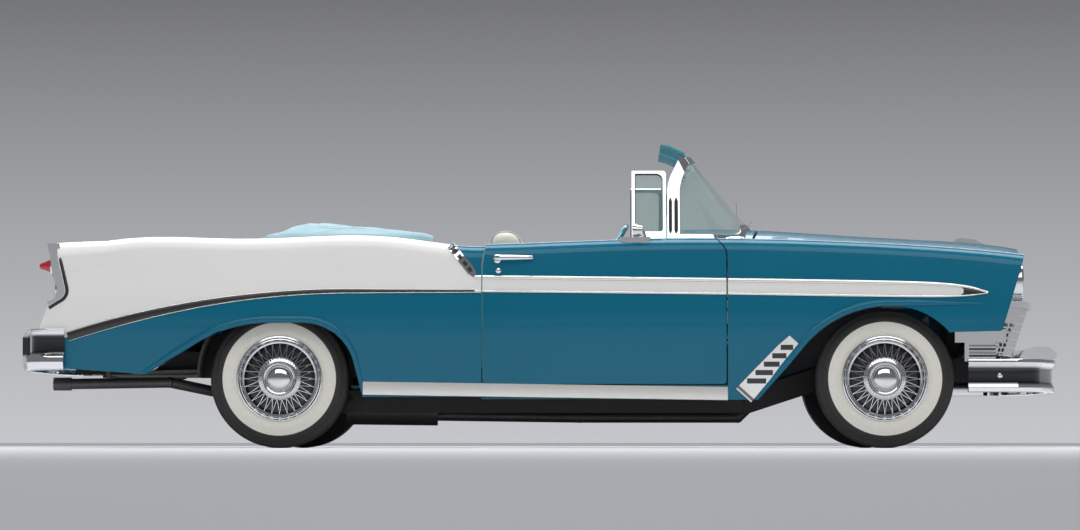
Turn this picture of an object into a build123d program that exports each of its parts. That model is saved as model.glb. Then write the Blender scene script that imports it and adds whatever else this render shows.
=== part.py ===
"""A full-size 1950s two-door convertible, as the panels, frame, running gear and cabin it is assembled from.

Frame: +X to the nose, +Y to the car's left, +Z up, floor at z 0, origin under the middle of the car.
All sizes are millimetres. Left-hand pieces are modelled and mirrored to the right.
"""

import os
from functools import lru_cache
from typing import NamedTuple

from build123d import *

os.makedirs("parts", exist_ok=True)

# Driving dimensions
WHEELBASE = 2922
FRONT_AXLE_X = 1675
REAR_AXLE_X = FRONT_AXLE_X - WHEELBASE
FRONT_TRACK = 1472
REAR_TRACK = 1494
TYRE_RADIUS = 334
TYRE_WIDTH = 168
RIM_RADIUS = 196
AXLE_Z = TYRE_RADIUS
BUMPER_REACH = 2545
PANEL_GAP = 6
DOOR_FRONT_GAP = 7
LID_GAP = 14

# Wall thicknesses
FENDER_WALL = 24
QUARTER_WALL = 40
LID_WALL = 16
DOOR_INNER_Y = 792
CABIN_SIDE_Y = 745

# Height of the underside of the body's envelope, well below every panel
ENVELOPE_FLOOR = 120
ABOVE_ALL = 1120
OUTSIDE_ALL = 1100


class Station(NamedTuple):
    """One cross-section of the body: half widths and heights of its corners before they are rounded."""

    x: float
    sill: float
    belt: float
    shoulder: float
    shoulder_z: float
    valley: float
    valley_z: float
    crown: float
    crown_z: float


BELT_Z = 640
SILL_ROUND, BELT_ROUND, SHOULDER_ROUND, VALLEY_ROUND, CROWN_ROUND = 20, 950, 70, 260, 1500

# Columns as in Station: x, sill, belt, shoulder, shoulder_z, valley, valley_z, crown, crown_z
FRONT_STATIONS = (
    Station(-340, 886, 932, 880, 987, 640, 980, 300, 1006),
    Station(330, 890, 936, 886, 1006, 648, 1001, 310, 1050),
    Station(930, 886, 932, 882, 1014, 650, 1006, 330, 1087),
    Station(1675, 872, 920, 868, 994, 642, 974, 320, 1045),
    Station(2130, 852, 903, 852, 966, 630, 938, 300, 1021),
    Station(2430, 826, 886, 838, 934, 618, 898, 280, 977),
)
REAR_STATIONS = (
    Station(-2480, 838, 890, 846, 1008, 630, 920, 260, 950),
    Station(-2090, 862, 914, 862, 1018, 642, 962, 280, 986),
    Station(-1614, 878, 928, 870, 1028, 648, 988, 300, 1006),
    Station(-1135, 886, 934, 874, 1030, 648, 996, 300, 1014),
    Station(-700, 888, 934, 876, 1027, 648, 1000, 300, 1018),
    Station(-500, 888, 933, 878, 998, 648, 985, 300, 1008),
    Station(-390, 887, 932, 879, 982, 646, 976, 300, 1002),
    Station(-180, 887, 932, 880, 990, 642, 982, 300, 1008),
)


def flat_face(points, radii):
    """Flat face inside a closed outline of straight runs and tangent arcs."""
    return Face(Wire(FilletPolyline(*points, radius=radii, close=True).edges()))


def section(st, inset):
    """The body's cross-section at a station, drawn in by an even amount."""
    half = [
        (st.sill - inset, ENVELOPE_FLOOR - inset),
        (st.belt - inset, BELT_Z),
        (st.shoulder - inset, st.shoulder_z - inset),
        (st.valley - inset, st.valley_z - inset),
        (st.crown, st.crown_z - inset),
    ]
    rounds = [SILL_ROUND, BELT_ROUND, SHOULDER_ROUND - inset / 2, VALLEY_ROUND, CROWN_ROUND]
    points = [(st.x, y, z) for y, z in half] + [(st.x, -y, z) for y, z in reversed(half)]
    return flat_face(points, rounds + rounds[::-1])


@lru_cache
def envelope(stations, inset=0):
    """Smooth solid through the body's cross-sections."""
    return loft([section(st, inset) for st in stations])


def side_slab(points, radii, y_low, y_high):
    """A side-view outline given as (x, z) points, carried from y_low to y_high."""
    face = flat_face([(x, y_low, z) for x, z in points], radii)
    return extrude(face, amount=y_high - y_low, dir=(0, 1, 0))


def plan_slab(points, radii, z_low, z_high):
    """A plan outline given as (x, y) points, carried from z_low to z_high."""
    face = flat_face([(x, y, z_low) for x, y in points], radii)
    return extrude(face, amount=z_high - z_low, dir=(0, 0, 1))


def front_slab(points, radii, x_low, x_high):
    """A front-view outline given as (y, z) points, carried from x_low to x_high."""
    face = flat_face([(x_low, y, z) for y, z in points], radii)
    return extrude(face, amount=x_high - x_low, dir=(1, 0, 0))


def block(x_low, x_high, y_low, y_high, z_low, z_high):
    """A box between two corners."""
    size = (x_high - x_low, y_high - y_low, z_high - z_low)
    middle = ((x_low + x_high) / 2, (y_low + y_high) / 2, (z_low + z_high) / 2)
    return Pos(*middle) * Box(*size)


def rod(start, end, radius):
    """A round bar from one point to another."""
    run = Vector(*end) - Vector(*start)
    return extrude(Plane(origin=start, z_dir=run) * Circle(radius), amount=run.length)


def mirrored(shape):
    """The right-hand twin of a left-hand piece."""
    return mirror(shape, about=Plane.XZ)


def write(name, shape):
    """Store one node's solids."""
    export_step(shape, f"parts/{name}.step")


def write_pair(name, left):
    """Store a left-hand piece and its right-hand twin as two nodes."""
    write(f"{name}_left", left)
    write(f"{name}_right", mirrored(left))


# Hinge lines
DOOR_AXIS_X, DOOR_AXIS_Y = 975, 892
DOOR_HINGE_HEIGHTS = (520, 720)
DOOR_EYE_RADIUS, DOOR_RELIEF_RADIUS, DOOR_EDGE_LIP = 12, 73.4, 2
HOOD_AXIS_X, HOOD_AXIS_Z, HOOD_HINGE_Y = 975, 1020, 330
TRUNK_AXIS_X, TRUNK_AXIS_Z, TRUNK_HINGE_Y = -1300, 960, 450
PIN_RADIUS, PIN_CLEARANCE = 7, 0.3

# Number plate bolts
PLATE_SPACING, PLATE_HOLE_RADIUS, REAR_PLATE_Z = 178, 3.5, 490

# Lamps
HEADLAMP_Y, HEADLAMP_Z, HEADLAMP_BORE = 712, 803, 96
TAIL_LAMP_Y, TAIL_LAMP_Z = 790, 880

# Side-view outlines, (x, z) points
DOOR_FRONT_X = 909
DOOR_REAR_X = -263
DOOR_BOTTOM_Z = 308
SILL_BOTTOM_Z = 232
DOOR_SEAM_BEND_Z = 880
DOOR_SEAM_LEAN = 38
NOSE_TOP = (2406, ABOVE_ALL)
NOSE_FOOT = (2232, 562)
FRONT_ARCH = [(953, 100), (1433, 682), (1937, 682), (2097, 338), (2140, 100)]
FRONT_ARCH_ROUNDS = [0, 540, 370, 60, 0]
REAR_ARCH = [(-2134, 200), (-1484, 604), (-932, 604), (-829, 200)]
REAR_ARCH_ROUNDS = [0, 680, 255, 0]
FIN_REAR = [(-2368, ABOVE_ALL), (-2272, 738), (-2361, 683), (-2402, 573), (-2402, 500), (-2306, 385)]
TAIL_BOTTOM = (-1882, 356)
HOOD_REAR_SIDE = (1048, 642)
HOOD_REAR_MIDDLE_X = 1130
HOOD_FRONT_HALF = 612
TRUNK_FRONT_X = -1420
TRUNK_HALF, TRUNK_TAIL_HALF = 636, 606
TRUNK_FOOT_Z = 604


def build_fender(outer):
    """Front wing: skin with the wheel arch, the hooded headlamp panel and the seam to door and bonnet."""
    seam = DOOR_FRONT_X + DOOR_FRONT_GAP
    outline = [
        (seam, SILL_BOTTOM_Z),
        (seam, 955),
        (seam - 70, 1031),
        (seam - 70, ABOVE_ALL),
        NOSE_TOP,
        NOSE_FOOT,
        (1985, 556),
        (1985, SILL_BOTTOM_Z),
    ]
    region = side_slab(outline, [0, 90, 0, 0, 0, 15, 0, 0], 0, OUTSIDE_ALL)
    arch = side_slab(FRONT_ARCH, FRONT_ARCH_ROUNDS, 0, OUTSIDE_ALL)
    cap = 26
    behind_cap = side_slab(
        [(800, 0), (800, ABOVE_ALL), (NOSE_TOP[0] - cap, ABOVE_ALL),
         (NOSE_FOOT[0] - cap, NOSE_FOOT[1]), (1800, 0)],
        [0] * 5,
        0,
        OUTSIDE_ALL,
    )
    hollow = envelope(FRONT_STATIONS, FENDER_WALL) & behind_cap
    inboard = plan_slab(
        [(700, 0), (700, DOOR_INNER_Y + 8), (seam + 8, DOOR_INNER_Y + 8), (seam + 8, 650),
         (HOOD_REAR_SIDE[0], HOOD_REAR_SIDE[1] + PANEL_GAP), (2500, HOOD_FRONT_HALF + PANEL_GAP), (2500, 0)],
        [0] * 7,
        0,
        ABOVE_ALL,
    )
    pocket_end = DOOR_AXIS_X + 37
    pocket = envelope(FRONT_STATIONS, 8) & Compound(
        children=[block(seam - 4, pocket_end, 800, OUTSIDE_ALL, z - 24, z + 24) for z in DOOR_HINGE_HEIGHTS]
    )
    lamp_bore = rod((2000, HEADLAMP_Y, HEADLAMP_Z), (2500, HEADLAMP_Y, HEADLAMP_Z), HEADLAMP_BORE)
    return (outer & region) - arch - hollow - inboard - pocket - lamp_bore


def build_door(outer):
    """Door: outer skin, inner trim face and the slot that the window drops into."""
    outline = [
        (DOOR_REAR_X, DOOR_BOTTOM_Z),
        (DOOR_REAR_X, DOOR_SEAM_BEND_Z),
        (DOOR_REAR_X + DOOR_SEAM_LEAN, ABOVE_ALL),
        (DOOR_FRONT_X - 70, ABOVE_ALL),
        (DOOR_FRONT_X - 70, 1031),
        (DOOR_FRONT_X, 955),
        (DOOR_FRONT_X, DOOR_BOTTOM_Z),
    ]
    region = side_slab(outline, [15, 60, 0, 0, 0, 90, 15], DOOR_INNER_Y, OUTSIDE_ALL)
    window_slot = block(-200, VENT_REAR_X - 25, VENT_Y - 6, VENT_Y + 6, 640, ABOVE_ALL)
    axis = Pos(DOOR_AXIS_X, DOOR_AXIS_Y, 0)
    relief = axis * Pos(0, 0, 620) * Cylinder(DOOR_RELIEF_RADIUS, 700)
    relief &= envelope(FRONT_STATIONS, DOOR_EDGE_LIP)
    door = (outer & region) - window_slot - vent_seat() - relief
    root = DOOR_FRONT_X - 3
    strap = [(root, 806), (root, 820), (DOOR_AXIS_X - 5, DOOR_AXIS_Y + 5), (DOOR_AXIS_X + 5, DOOR_AXIS_Y - 5)]
    for z in DOOR_HINGE_HEIGHTS:
        door += plan_slab(strap, [0] * 4, z - 6, z + 6)
        door += axis * Pos(0, 0, z) * Cylinder(DOOR_EYE_RADIUS, 12)
        door -= axis * Pos(0, 0, z) * Cylinder(PIN_RADIUS + PIN_CLEARANCE, 40)
    return door


def build_quarter(outer):
    """Rear wing: fin, wheel arch, tail lamp recess and the wall beside the rear seat."""
    seam = DOOR_REAR_X - PANEL_GAP
    outline = [
        (seam, 246),
        (seam, DOOR_SEAM_BEND_Z),
        (seam + DOOR_SEAM_LEAN, ABOVE_ALL),
        *FIN_REAR,
        TAIL_BOTTOM,
        (-870, 356),
        (-870, 246),
    ]
    region = side_slab(outline, [0, 60, 0, 0, 45, 20, 0, 0, 15, 0, 0, 0], 0, OUTSIDE_ALL)
    arch = side_slab(REAR_ARCH, REAR_ARCH_ROUNDS, 0, OUTSIDE_ALL)
    cap = 28
    ahead_of_cap = side_slab(
        [(-845, 0), (-845, ABOVE_ALL), (FIN_REAR[0][0] + cap, ABOVE_ALL),
         (FIN_REAR[1][0] + cap, FIN_REAR[1][1]), (FIN_REAR[1][0] + cap, 0)],
        [0] * 5,
        0,
        OUTSIDE_ALL,
    )
    hollow = envelope(REAR_STATIONS, QUARTER_WALL) & ahead_of_cap
    cabin_end = -925
    inboard = plan_slab(
        [(0, 0), (0, CABIN_SIDE_Y), (cabin_end, CABIN_SIDE_Y), (cabin_end, 650),
         (TRUNK_FRONT_X, TRUNK_HALF + PANEL_GAP), (-2500, TRUNK_TAIL_HALF + PANEL_GAP), (-2500, 0)],
        [0, 0, 30, 30, 0, 0, 0],
        0,
        ABOVE_ALL,
    )
    return (outer & region) - arch - hollow - inboard


def add_gooseneck(lid, arm, axis_x, axis_z, hinge_y, way):
    """Give a lid its two hinge arms, which loop under the fixed panel's edge as the lid lifts."""
    outline = [(axis_x + way * dx, axis_z + dz) for dx, dz in arm]
    for side in (-1, 1):
        middle = side * hinge_y
        lid += side_slab(outline, [0] * len(outline), middle - 6, middle + 6)
        lid -= rod((axis_x, middle - 20, axis_z), (axis_x, middle + 20, axis_z), PIN_RADIUS + PIN_CLEARANCE)
    return lid


def build_hood(outer):
    """Bonnet skin between the front wings."""
    plan = plan_slab(
        [HOOD_REAR_SIDE, (2500, HOOD_FRONT_HALF), (2500, -HOOD_FRONT_HALF),
         (HOOD_REAR_SIDE[0], -HOOD_REAR_SIDE[1]), (HOOD_REAR_MIDDLE_X, 0)],
        [0, 0, 0, 0, 2600],
        800,
        ABOVE_ALL,
    )
    lip_z = 846
    outline = [(900, lip_z), (900, ABOVE_ALL), NOSE_TOP, (nose_line(lip_z, 0), lip_z)]
    side = side_slab(outline, [0] * 4, -OUTSIDE_ALL, OUTSIDE_ALL)
    hollow = envelope(FRONT_STATIONS, LID_WALL)
    hood = ((outer - hollow) & plan) & side
    arm = [(0, 16), (16, 0), (62, -112), (150, -80), (158, 38), (182, 38), (178, -100), (62, -142), (-4, -16),
           (-14, 0)]
    return add_gooseneck(hood, arm, HOOD_AXIS_X, HOOD_AXIS_Z, HOOD_HINGE_Y, 1)


def build_trunk_lid(outer):
    """Boot lid: the deck between the fins and the face that turns down to the bumper."""
    plan = plan_slab(
        [(TRUNK_FRONT_X, TRUNK_HALF), (TRUNK_FRONT_X, -TRUNK_HALF),
         (-2500, -TRUNK_TAIL_HALF), (-2500, TRUNK_TAIL_HALF)],
        [0] * 4,
        TRUNK_FOOT_Z,
        ABOVE_ALL,
    )
    tail = [(-1000, 400), (-1000, 1060), (-2352, 968), (-2404, 400)]
    side = side_slab(tail, [0, 0, 70, 0], -OUTSIDE_ALL, OUTSIDE_ALL)
    inner_tail = [(x + LID_WALL if x < -2000 else x, z) for x, z in tail]
    within = side_slab(inner_tail, [0, 0, 60, 0], -OUTSIDE_ALL, OUTSIDE_ALL)
    hollow = envelope(REAR_STATIONS, LID_WALL) & within
    lid = ((outer & side) - hollow) & plan
    arm = [(0, 16), (16, 0), (62, -122), (140, -92), (150, 34), (174, 34), (168, -112), (56, -150), (-4, -16),
           (-14, 0)]
    return add_gooseneck(lid, arm, TRUNK_AXIS_X, TRUNK_AXIS_Z, TRUNK_HINGE_Y, -1)


def beam(start, end, width, height):
    """A straight box-section rail between two points, run on a little past each so that rails join."""
    run = Vector(*end) - Vector(*start)
    along = run.normalized()
    first = Vector(*start) - along * width / 3
    across = Vector(-run.Y, run.X, 0)
    plane = Plane(origin=first, x_dir=across, z_dir=run)
    return extrude(plane * Rectangle(width, height), amount=run.length + width * 2 / 3)


def joined(shapes):
    """One shape from several that touch or cross."""
    first, *rest = shapes
    return first.fuse(*rest) if rest else first


def largest(shape):
    """The biggest solid of a shape, without the crumbs a cut may leave."""
    return max(shape.solids(), key=lambda solid: solid.volume)


# Chassis rail on the left, (x, y, z) of its middle line
RAIL_WIDTH, RAIL_HEIGHT, RAIL_LOW_Z = 80, 110, 226
RAIL = [
    (2240, 400, 395),
    (1420, 400, 360),
    (1010, 590, RAIL_LOW_Z),
    (-945, 600, RAIL_LOW_Z),
    (-1060, 545, 400),
    (-1247, 525, 470),
    (-1600, 525, 415),
    (-2240, 525, 415),
]
CROSS_MEMBERS = [(2180, 393, 395), (1675, 360, 330), (-2200, 485, 415), (-1650, 485, 415)]


def build_frame():
    """Chassis: two box-section rails, cross members, the X in the middle and the body mounts."""
    rails = [beam(a, b, RAIL_WIDTH, RAIL_HEIGHT) for a, b in zip(RAIL, RAIL[1:])]
    left = joined(rails)
    members = [beam((x, -half, z), (x, half, z), 70, 70) for x, half, z in CROSS_MEMBERS]
    diagonals = []
    for side in (-1, 1):
        waist = (180, -side * 60, RAIL_LOW_Z)
        diagonals.append(beam((-640, -side * 585, RAIL_LOW_Z), waist, 70, 80))
        diagonals.append(beam(waist, (960, -side * 570, RAIL_LOW_Z), 70, 80))
    middle = block(100, 260, -110, 110, RAIL_LOW_Z - 40, RAIL_LOW_Z + 40)
    mounts = [block(x - 40, x + 40, y - 30, y + 30, 275, 290) for x, y in ((900, 590), (150, 600), (-640, 600))]
    mounts = joined([left, *mounts])
    return joined([mounts, mirrored(mounts), *members, *diagonals, middle])


FLOOR_Z, FLOOR_TOP = 290, 302
TRUNK_FLOOR_Z = 478
FIREWALL_X = 940


def build_floor(outer):
    """Cabin floor with tunnel, toe board, sills, heel board and boot floor."""
    cabin = block(-905, FIREWALL_X, -CABIN_SIDE_Y, CABIN_SIDE_Y, FLOOR_Z, FLOOR_TOP)
    foot = FLOOR_TOP - 6
    ridge = [(-905, foot), (-905, 400), (480, 400), (FIREWALL_X, 520), (FIREWALL_X, foot)]
    tunnel = side_slab(ridge, [0] * 5, -110, 110)
    hollow = side_slab([(-1000, 200), (-1000, 390), (480, 390), (1000, 525), (1000, 200)], [0] * 5, -100, 100)
    rear, front = DOOR_REAR_X - PANEL_GAP, DOOR_FRONT_X + DOOR_FRONT_GAP
    sill = outer & block(rear, front, CABIN_SIDE_Y, 1000, 236, FLOOR_TOP)
    heel = block(-917, -905, -470, 470, FLOOR_Z, 556).fuse(block(-917, -905, -638, 638, 340, 556))
    boot = plan_slab(
        [(-905, 640), (-1690, 640), (-1690, 800), (-2240, 790),
         (-2240, -790), (-1690, -800), (-1690, -640), (-905, -640)],
        [0] * 8, TRUNK_FLOOR_Z + 66, TRUNK_FLOOR_Z + 78)
    floor = joined([cabin, tunnel, sill, mirrored(sill), heel, boot])
    return floor - hollow


def build_cowl(outer):
    """Scuttle: top skin ahead of the windscreen, bulkhead and the pillars that carry the doors."""
    seam = DOOR_FRONT_X + DOOR_FRONT_GAP + 8
    half = [
        (622, 786),
        (seam, 786),
        (seam, 650),
        (HOOD_REAR_SIDE[0] - LID_GAP, HOOD_REAR_SIDE[1] + PANEL_GAP),
    ]
    inner_half = [(700, 600), (640, 660), (622, 660)]
    outline = half + [(HOOD_REAR_MIDDLE_X - LID_GAP, 0)] + [(x, -y) for x, y in reversed(half)]
    outline += [(x, -y) for x, y in reversed(inner_half)] + inner_half
    rounds = [0, 0, 0, 0, 2600, 0, 0, 0, 0] + [0] * 6
    plan = plan_slab(outline, rounds, 700, ABOVE_ALL)
    top = (outer - envelope(FRONT_STATIONS, 30)) & plan
    bulkhead = block(FIREWALL_X, FIREWALL_X + 15, -640, 640, FLOOR_Z, ABOVE_ALL) & envelope(FRONT_STATIONS, 29)
    bulkhead -= block(FIREWALL_X - 10, FIREWALL_X + 30, -112, 112, 200, 520)
    pillar = block(seam, 950, 640, 800, FLOOR_TOP, 970)
    for z in DOOR_HINGE_HEIGHTS:
        pillar += block(seam, DOOR_AXIS_X + 10, 780, DOOR_AXIS_Y, z - 19, z - 9)
        pillar += Pos(DOOR_AXIS_X, DOOR_AXIS_Y, z - 14) * Cylinder(DOOR_EYE_RADIUS, 10)
        pillar += Pos(DOOR_AXIS_X, DOOR_AXIS_Y, z - 2) * Cylinder(PIN_RADIUS, 26)
    x, y, z = HOOD_AXIS_X, HOOD_HINGE_Y, HOOD_AXIS_Z
    bracket = block(FIREWALL_X + 14, x + 12, y + 12, y + 22, z - 50, z + 12)
    bracket += rod((x, y - 10, z), (x, y + 14, z), PIN_RADIUS)
    side = joined([pillar, bracket])
    return joined([top, bulkhead, side, mirrored(side)])


def build_dashboard():
    """Instrument panel hung under the scuttle."""
    outline = [(690, 800), (716, 1070), (850, 1070), (850, 780), (760, 760)]
    return side_slab(outline, [30, 0, 0, 0, 20], -735, 735) & envelope(FRONT_STATIONS, 30.3)


def build_rear_deck(outer):
    """Panel between the fins behind the rear seat, with the boot lid's hinge brackets."""
    rear, half = TRUNK_FRONT_X + LID_GAP, TRUNK_HALF + PANEL_GAP
    plan = plan_slab([(-925, 650), (rear, half), (rear, -half), (-925, -650)], [0] * 4, 800, ABOVE_ALL)
    deck = (outer - envelope(REAR_STATIONS, LID_WALL)) & plan
    apron = block(-937, -925, -640, 640, 556, 1000) & envelope(REAR_STATIONS, LID_WALL - 1)
    deck = deck.fuse(apron)
    for side in (-1, 1):
        y = side * TRUNK_HINGE_Y
        plate = block(TRUNK_AXIS_X - 14, TRUNK_AXIS_X + 40, y + 12, y + 22, 945, 1000)
        plate &= envelope(REAR_STATIONS, LID_WALL - 1)
        pin = rod((TRUNK_AXIS_X, y - 10, TRUNK_AXIS_Z), (TRUNK_AXIS_X, y + 14, TRUNK_AXIS_Z), PIN_RADIUS)
        deck = deck.fuse(plate, pin)
    return deck


def build_tail_panel():
    """Lower rear panel under the boot lid."""
    outline = [(-2402, 590), (-2402, 500), (-2306, 385), (-2288, 392), (-2376, 505), (-2376, 590)]
    side, tail = TRUNK_HALF + PANEL_GAP, TRUNK_TAIL_HALF + PANEL_GAP
    edge = [(TRUNK_FRONT_X, side), (-2500, tail), (-2500, -tail), (TRUNK_FRONT_X, -side)]
    plan = plan_slab(edge, [0] * 4, 300, 700)
    return side_slab(outline, [0] * 6, -OUTSIDE_ALL, OUTSIDE_ALL) & plan


def nose_line(z, back):
    """The x of the leaning front face at a height, set back by some distance."""
    slope = (NOSE_TOP[0] - NOSE_FOOT[0]) / (NOSE_TOP[1] - NOSE_FOOT[1])
    return NOSE_FOOT[0] + slope * (z - NOSE_FOOT[1]) - back


def build_nose_panel():
    """Panel between the wings behind the grille, under the bonnet's lip."""
    rear, nose = HOOD_REAR_SIDE[1] + PANEL_GAP, HOOD_FRONT_HALF + PANEL_GAP
    rear_x = HOOD_REAR_SIDE[0]
    plan = plan_slab([(rear_x, rear), (2500, nose), (2500, -nose), (rear_x, -rear)], [0] * 4, 500, 1000)
    low, high = NOSE_FOOT[1], 975
    outline = [(nose_line(z, back), z) for z, back in ((low, 24), (high, 24), (high, 8), (low, 8))]
    panel = side_slab(outline, [0] * 4, -OUTSIDE_ALL, OUTSIDE_ALL)
    panel = panel & envelope(FRONT_STATIONS, LID_WALL + 8) & plan
    for y in (-HEADLAMP_Y, HEADLAMP_Y):
        panel -= rod((2000, y, HEADLAMP_Z), (2500, y, HEADLAMP_Z), HEADLAMP_BORE)
    return panel


def swept_bar(half_path, path_rounds, outline, rounds, way):
    """A section of (outwards, up) points carried along a plan path that is mirrored about the middle."""
    points = half_path + [(x, -y, z) for x, y, z in reversed(half_path)]
    path = Wire(FilletPolyline(*points, radius=path_rounds + path_rounds[::-1]).edges())
    plane = Plane(origin=path @ 0, x_dir=(0, 0, 1), z_dir=path % 0)
    return sweep(plane * flat_face([(up, -way * out, 0) for out, up in outline], rounds), path=path)


def plate_bolts(x_low, x_high, z):
    """The two holes that a number plate bolts to."""
    half = PLATE_SPACING / 2
    return Compound(children=[rod((x_low, y, z), (x_high, y, z), PLATE_HOLE_RADIUS) for y in (-half, half)])


# Bumper sections as (outwards, up) points: a hollow face between an upper and a lower lip
FRONT_BAR_Z, FRONT_GUARD_Y = 348, 420
FRONT_BAR = [(-22, 80), (18, 80), (22, 62), (2, 34), (2, -34), (14, -56), (10, -80), (-22, -80)]
FRONT_BAR_ROUNDS = [4, 6, 8, 30, 30, 10, 8, 4]
REAR_BAR_Z, REAR_GUARD_Y = 474, 430
REAR_BAR = [(-18, 100), (-2, 100), (-4, 84), (-10, 60), (-10, -18), (14, -34), (18, -60), (8, -100),
            (-18, -100)]
REAR_BAR_ROUNDS = [4, 4, 6, 30, 20, 10, 12, 14, 4]


def build_front_bumper():
    """Wrap-round bar with a hollow face, two winged guards on top and its brackets."""
    half = [(2068, 893, FRONT_BAR_Z), (2390, 880, FRONT_BAR_Z), (BUMPER_REACH - 23, 480, FRONT_BAR_Z)]
    bar = swept_bar(half, [150, 900], FRONT_BAR, FRONT_BAR_ROUNDS, 1)
    nose, top = BUMPER_REACH, FRONT_BAR_Z + 80
    for side in (-1, 1):
        y = side * FRONT_GUARD_Y
        wing = side_slab(
            [(nose - 200, top - 6), (nose - 170, top + 50), (nose - 110, top + 70), (nose - 40, top + 66),
             (nose, top + 34), (nose - 8, top + 12), (nose - 40, top - 6)],
            [0, 30, 40, 30, 10, 10, 0], y - 60, y + 60)
        wing &= plan_slab(
            [(nose - 200, y - 44), (nose - 200, y + 44), (nose - 60, y + 54), (nose, y + 24), (nose, y - 24),
             (nose - 60, y - 54)], [20, 20, 40, 20, 20, 40], 300, 600)
        bracket = block(2240, BUMPER_REACH - 35, side * 400 - 25, side * 400 + 25, 345, 375)
        bar = bar.fuse(wing, bracket)
    return bar - plate_bolts(2300, 2600, FRONT_BAR_Z)


def build_rear_bumper():
    """Tall wrap-round bar with a hollow upper face over a rolled lip, two guards and its brackets."""
    half = [(-2278, 923, REAR_BAR_Z), (-2440, 910, REAR_BAR_Z), (18 - BUMPER_REACH, 480, REAR_BAR_Z)]
    bar = swept_bar(half, [110, 900], REAR_BAR, REAR_BAR_ROUNDS, -1)
    tail, low, high = -BUMPER_REACH, REAR_BAR_Z - 96, REAR_BAR_Z + 108
    for side in (-1, 1):
        y = side * REAR_GUARD_Y
        guard = side_slab(
            [(tail + 55, low), (tail + 55, high), (tail + 25, high), (tail, high - 40), (tail, low + 16)],
            [10, 10, 10, 30, 20], y - 50, y + 50)
        guard &= plan_slab(
            [(tail + 90, y - 50), (tail + 90, y + 50), (tail, y + 34), (tail, y - 34)],
            [0, 0, 12, 12], 300, 700)
        bracket = block(tail + 35, -2255, side * 525 - 20, side * 525 + 20, 400, 430)
        bar = bar.fuse(guard, bracket)
    return bar - plate_bolts(-2600, -2300, REAR_PLATE_Z)


# Grille: bowed in plan and leaning forwards to its top; x is that of its middle at the top
GRILLE_X, GRILLE_SAG, GRILLE_HALF, GRILLE_LOW, GRILLE_HIGH = 2440, 172, 600, 455, 690
GRILLE_SLOPE, GRILLE_DEPTH, GRILLE_BARS, GRILLE_ROWS = 0.33, 30, 28, 6
GRILLE_BOW = (GRILLE_HALF**2 + GRILLE_SAG**2) / (2 * GRILLE_SAG)
SIDE_BAR_LOW, SIDE_BAR_HIGH, SIDE_BAR_REAR_X, SIDE_BAR_FRONT_X = 506, 570, 2014, 2236


def grille_x(y, z):
    """The x of the grille's front face at a place across and up it."""
    return GRILLE_X - GRILLE_SLOPE * (GRILLE_HIGH - z) - (GRILLE_BOW - (GRILLE_BOW**2 - y**2) ** 0.5)


def bowed_bar(z, height, ahead, depth):
    """A level bar that follows the grille's bow, its face some distance ahead of the grid."""
    middle = grille_x(0, z) - GRILLE_BOW
    radius = GRILLE_BOW + ahead
    ring = Cylinder(radius, height) - Cylinder(radius - depth, height)
    reach = block(middle, middle + radius + 1, -GRILLE_HALF, GRILLE_HALF, z - height, z + height)
    return Pos(middle, 0, z) * ring & reach


def build_side_bars():
    """Bright bar under the left wing's edge, turning in to the grille, with a louvred plate below it."""
    middle = (SIDE_BAR_LOW + SIDE_BAR_HIGH) / 2
    height = SIDE_BAR_HIGH - SIDE_BAR_LOW
    corner = (SIDE_BAR_FRONT_X, 862, middle)
    pieces = [
        beam((SIDE_BAR_REAR_X, 876, middle), corner, 30, height),
        beam(corner, (grille_x(GRILLE_HALF, middle) - 6, GRILLE_HALF - 10, middle), 30, height),
        beam((2056, 862, 466), (2200, 854, 466), 8, 100),
    ]
    for z in (488, 462, 436):
        pieces.append(beam((2062, 868, z), (2192, 861, z), 16, 7))
    return joined(pieces)


def build_grille():
    """Egg-crate grille of upright and level bars under a heavy top bar, with the bars beside it."""
    pieces = []
    for i in range(GRILLE_BARS + 1):
        y = GRILLE_HALF * (2 * i / GRILLE_BARS - 1) * 0.995
        low, high = [(grille_x(y, z) - GRILLE_DEPTH / 2, y, z) for z in (GRILLE_LOW, GRILLE_HIGH)]
        pieces.append(beam(low, high, 5, GRILLE_DEPTH - 4))
    for i in range(GRILLE_ROWS + 1):
        z = GRILLE_LOW + i * (GRILLE_HIGH - GRILLE_LOW) / GRILLE_ROWS
        pieces.append(bowed_bar(z, 6, 0, GRILLE_DEPTH))
    pieces.append(bowed_bar(GRILLE_HIGH + 14, 34, 12, GRILLE_DEPTH + 22))
    pieces += [block(2230, 2335, y - 10, y + 10, 590, 610) for y in (-400, 400)]
    side = build_side_bars()
    return joined([*pieces, side, mirrored(side)])


def build_headlamps():
    """Bright rims and glass of the two headlamps."""
    x = nose_line(HEADLAMP_Z, 0)
    place = Pos(x - 6, HEADLAMP_Y, HEADLAMP_Z) * Rot(0, 90, 0)
    rim = place * (Cylinder(HEADLAMP_BORE - 0.3, 70) - Cylinder(82, 90))
    lens = place * (Cylinder(81.7, 80) & (Pos(0, 0, -140) * Sphere(165)))
    rims = Compound(children=[rim, mirrored(rim)])
    lenses = Compound(children=[lens, mirrored(lens)])
    return rims, lenses


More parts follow.
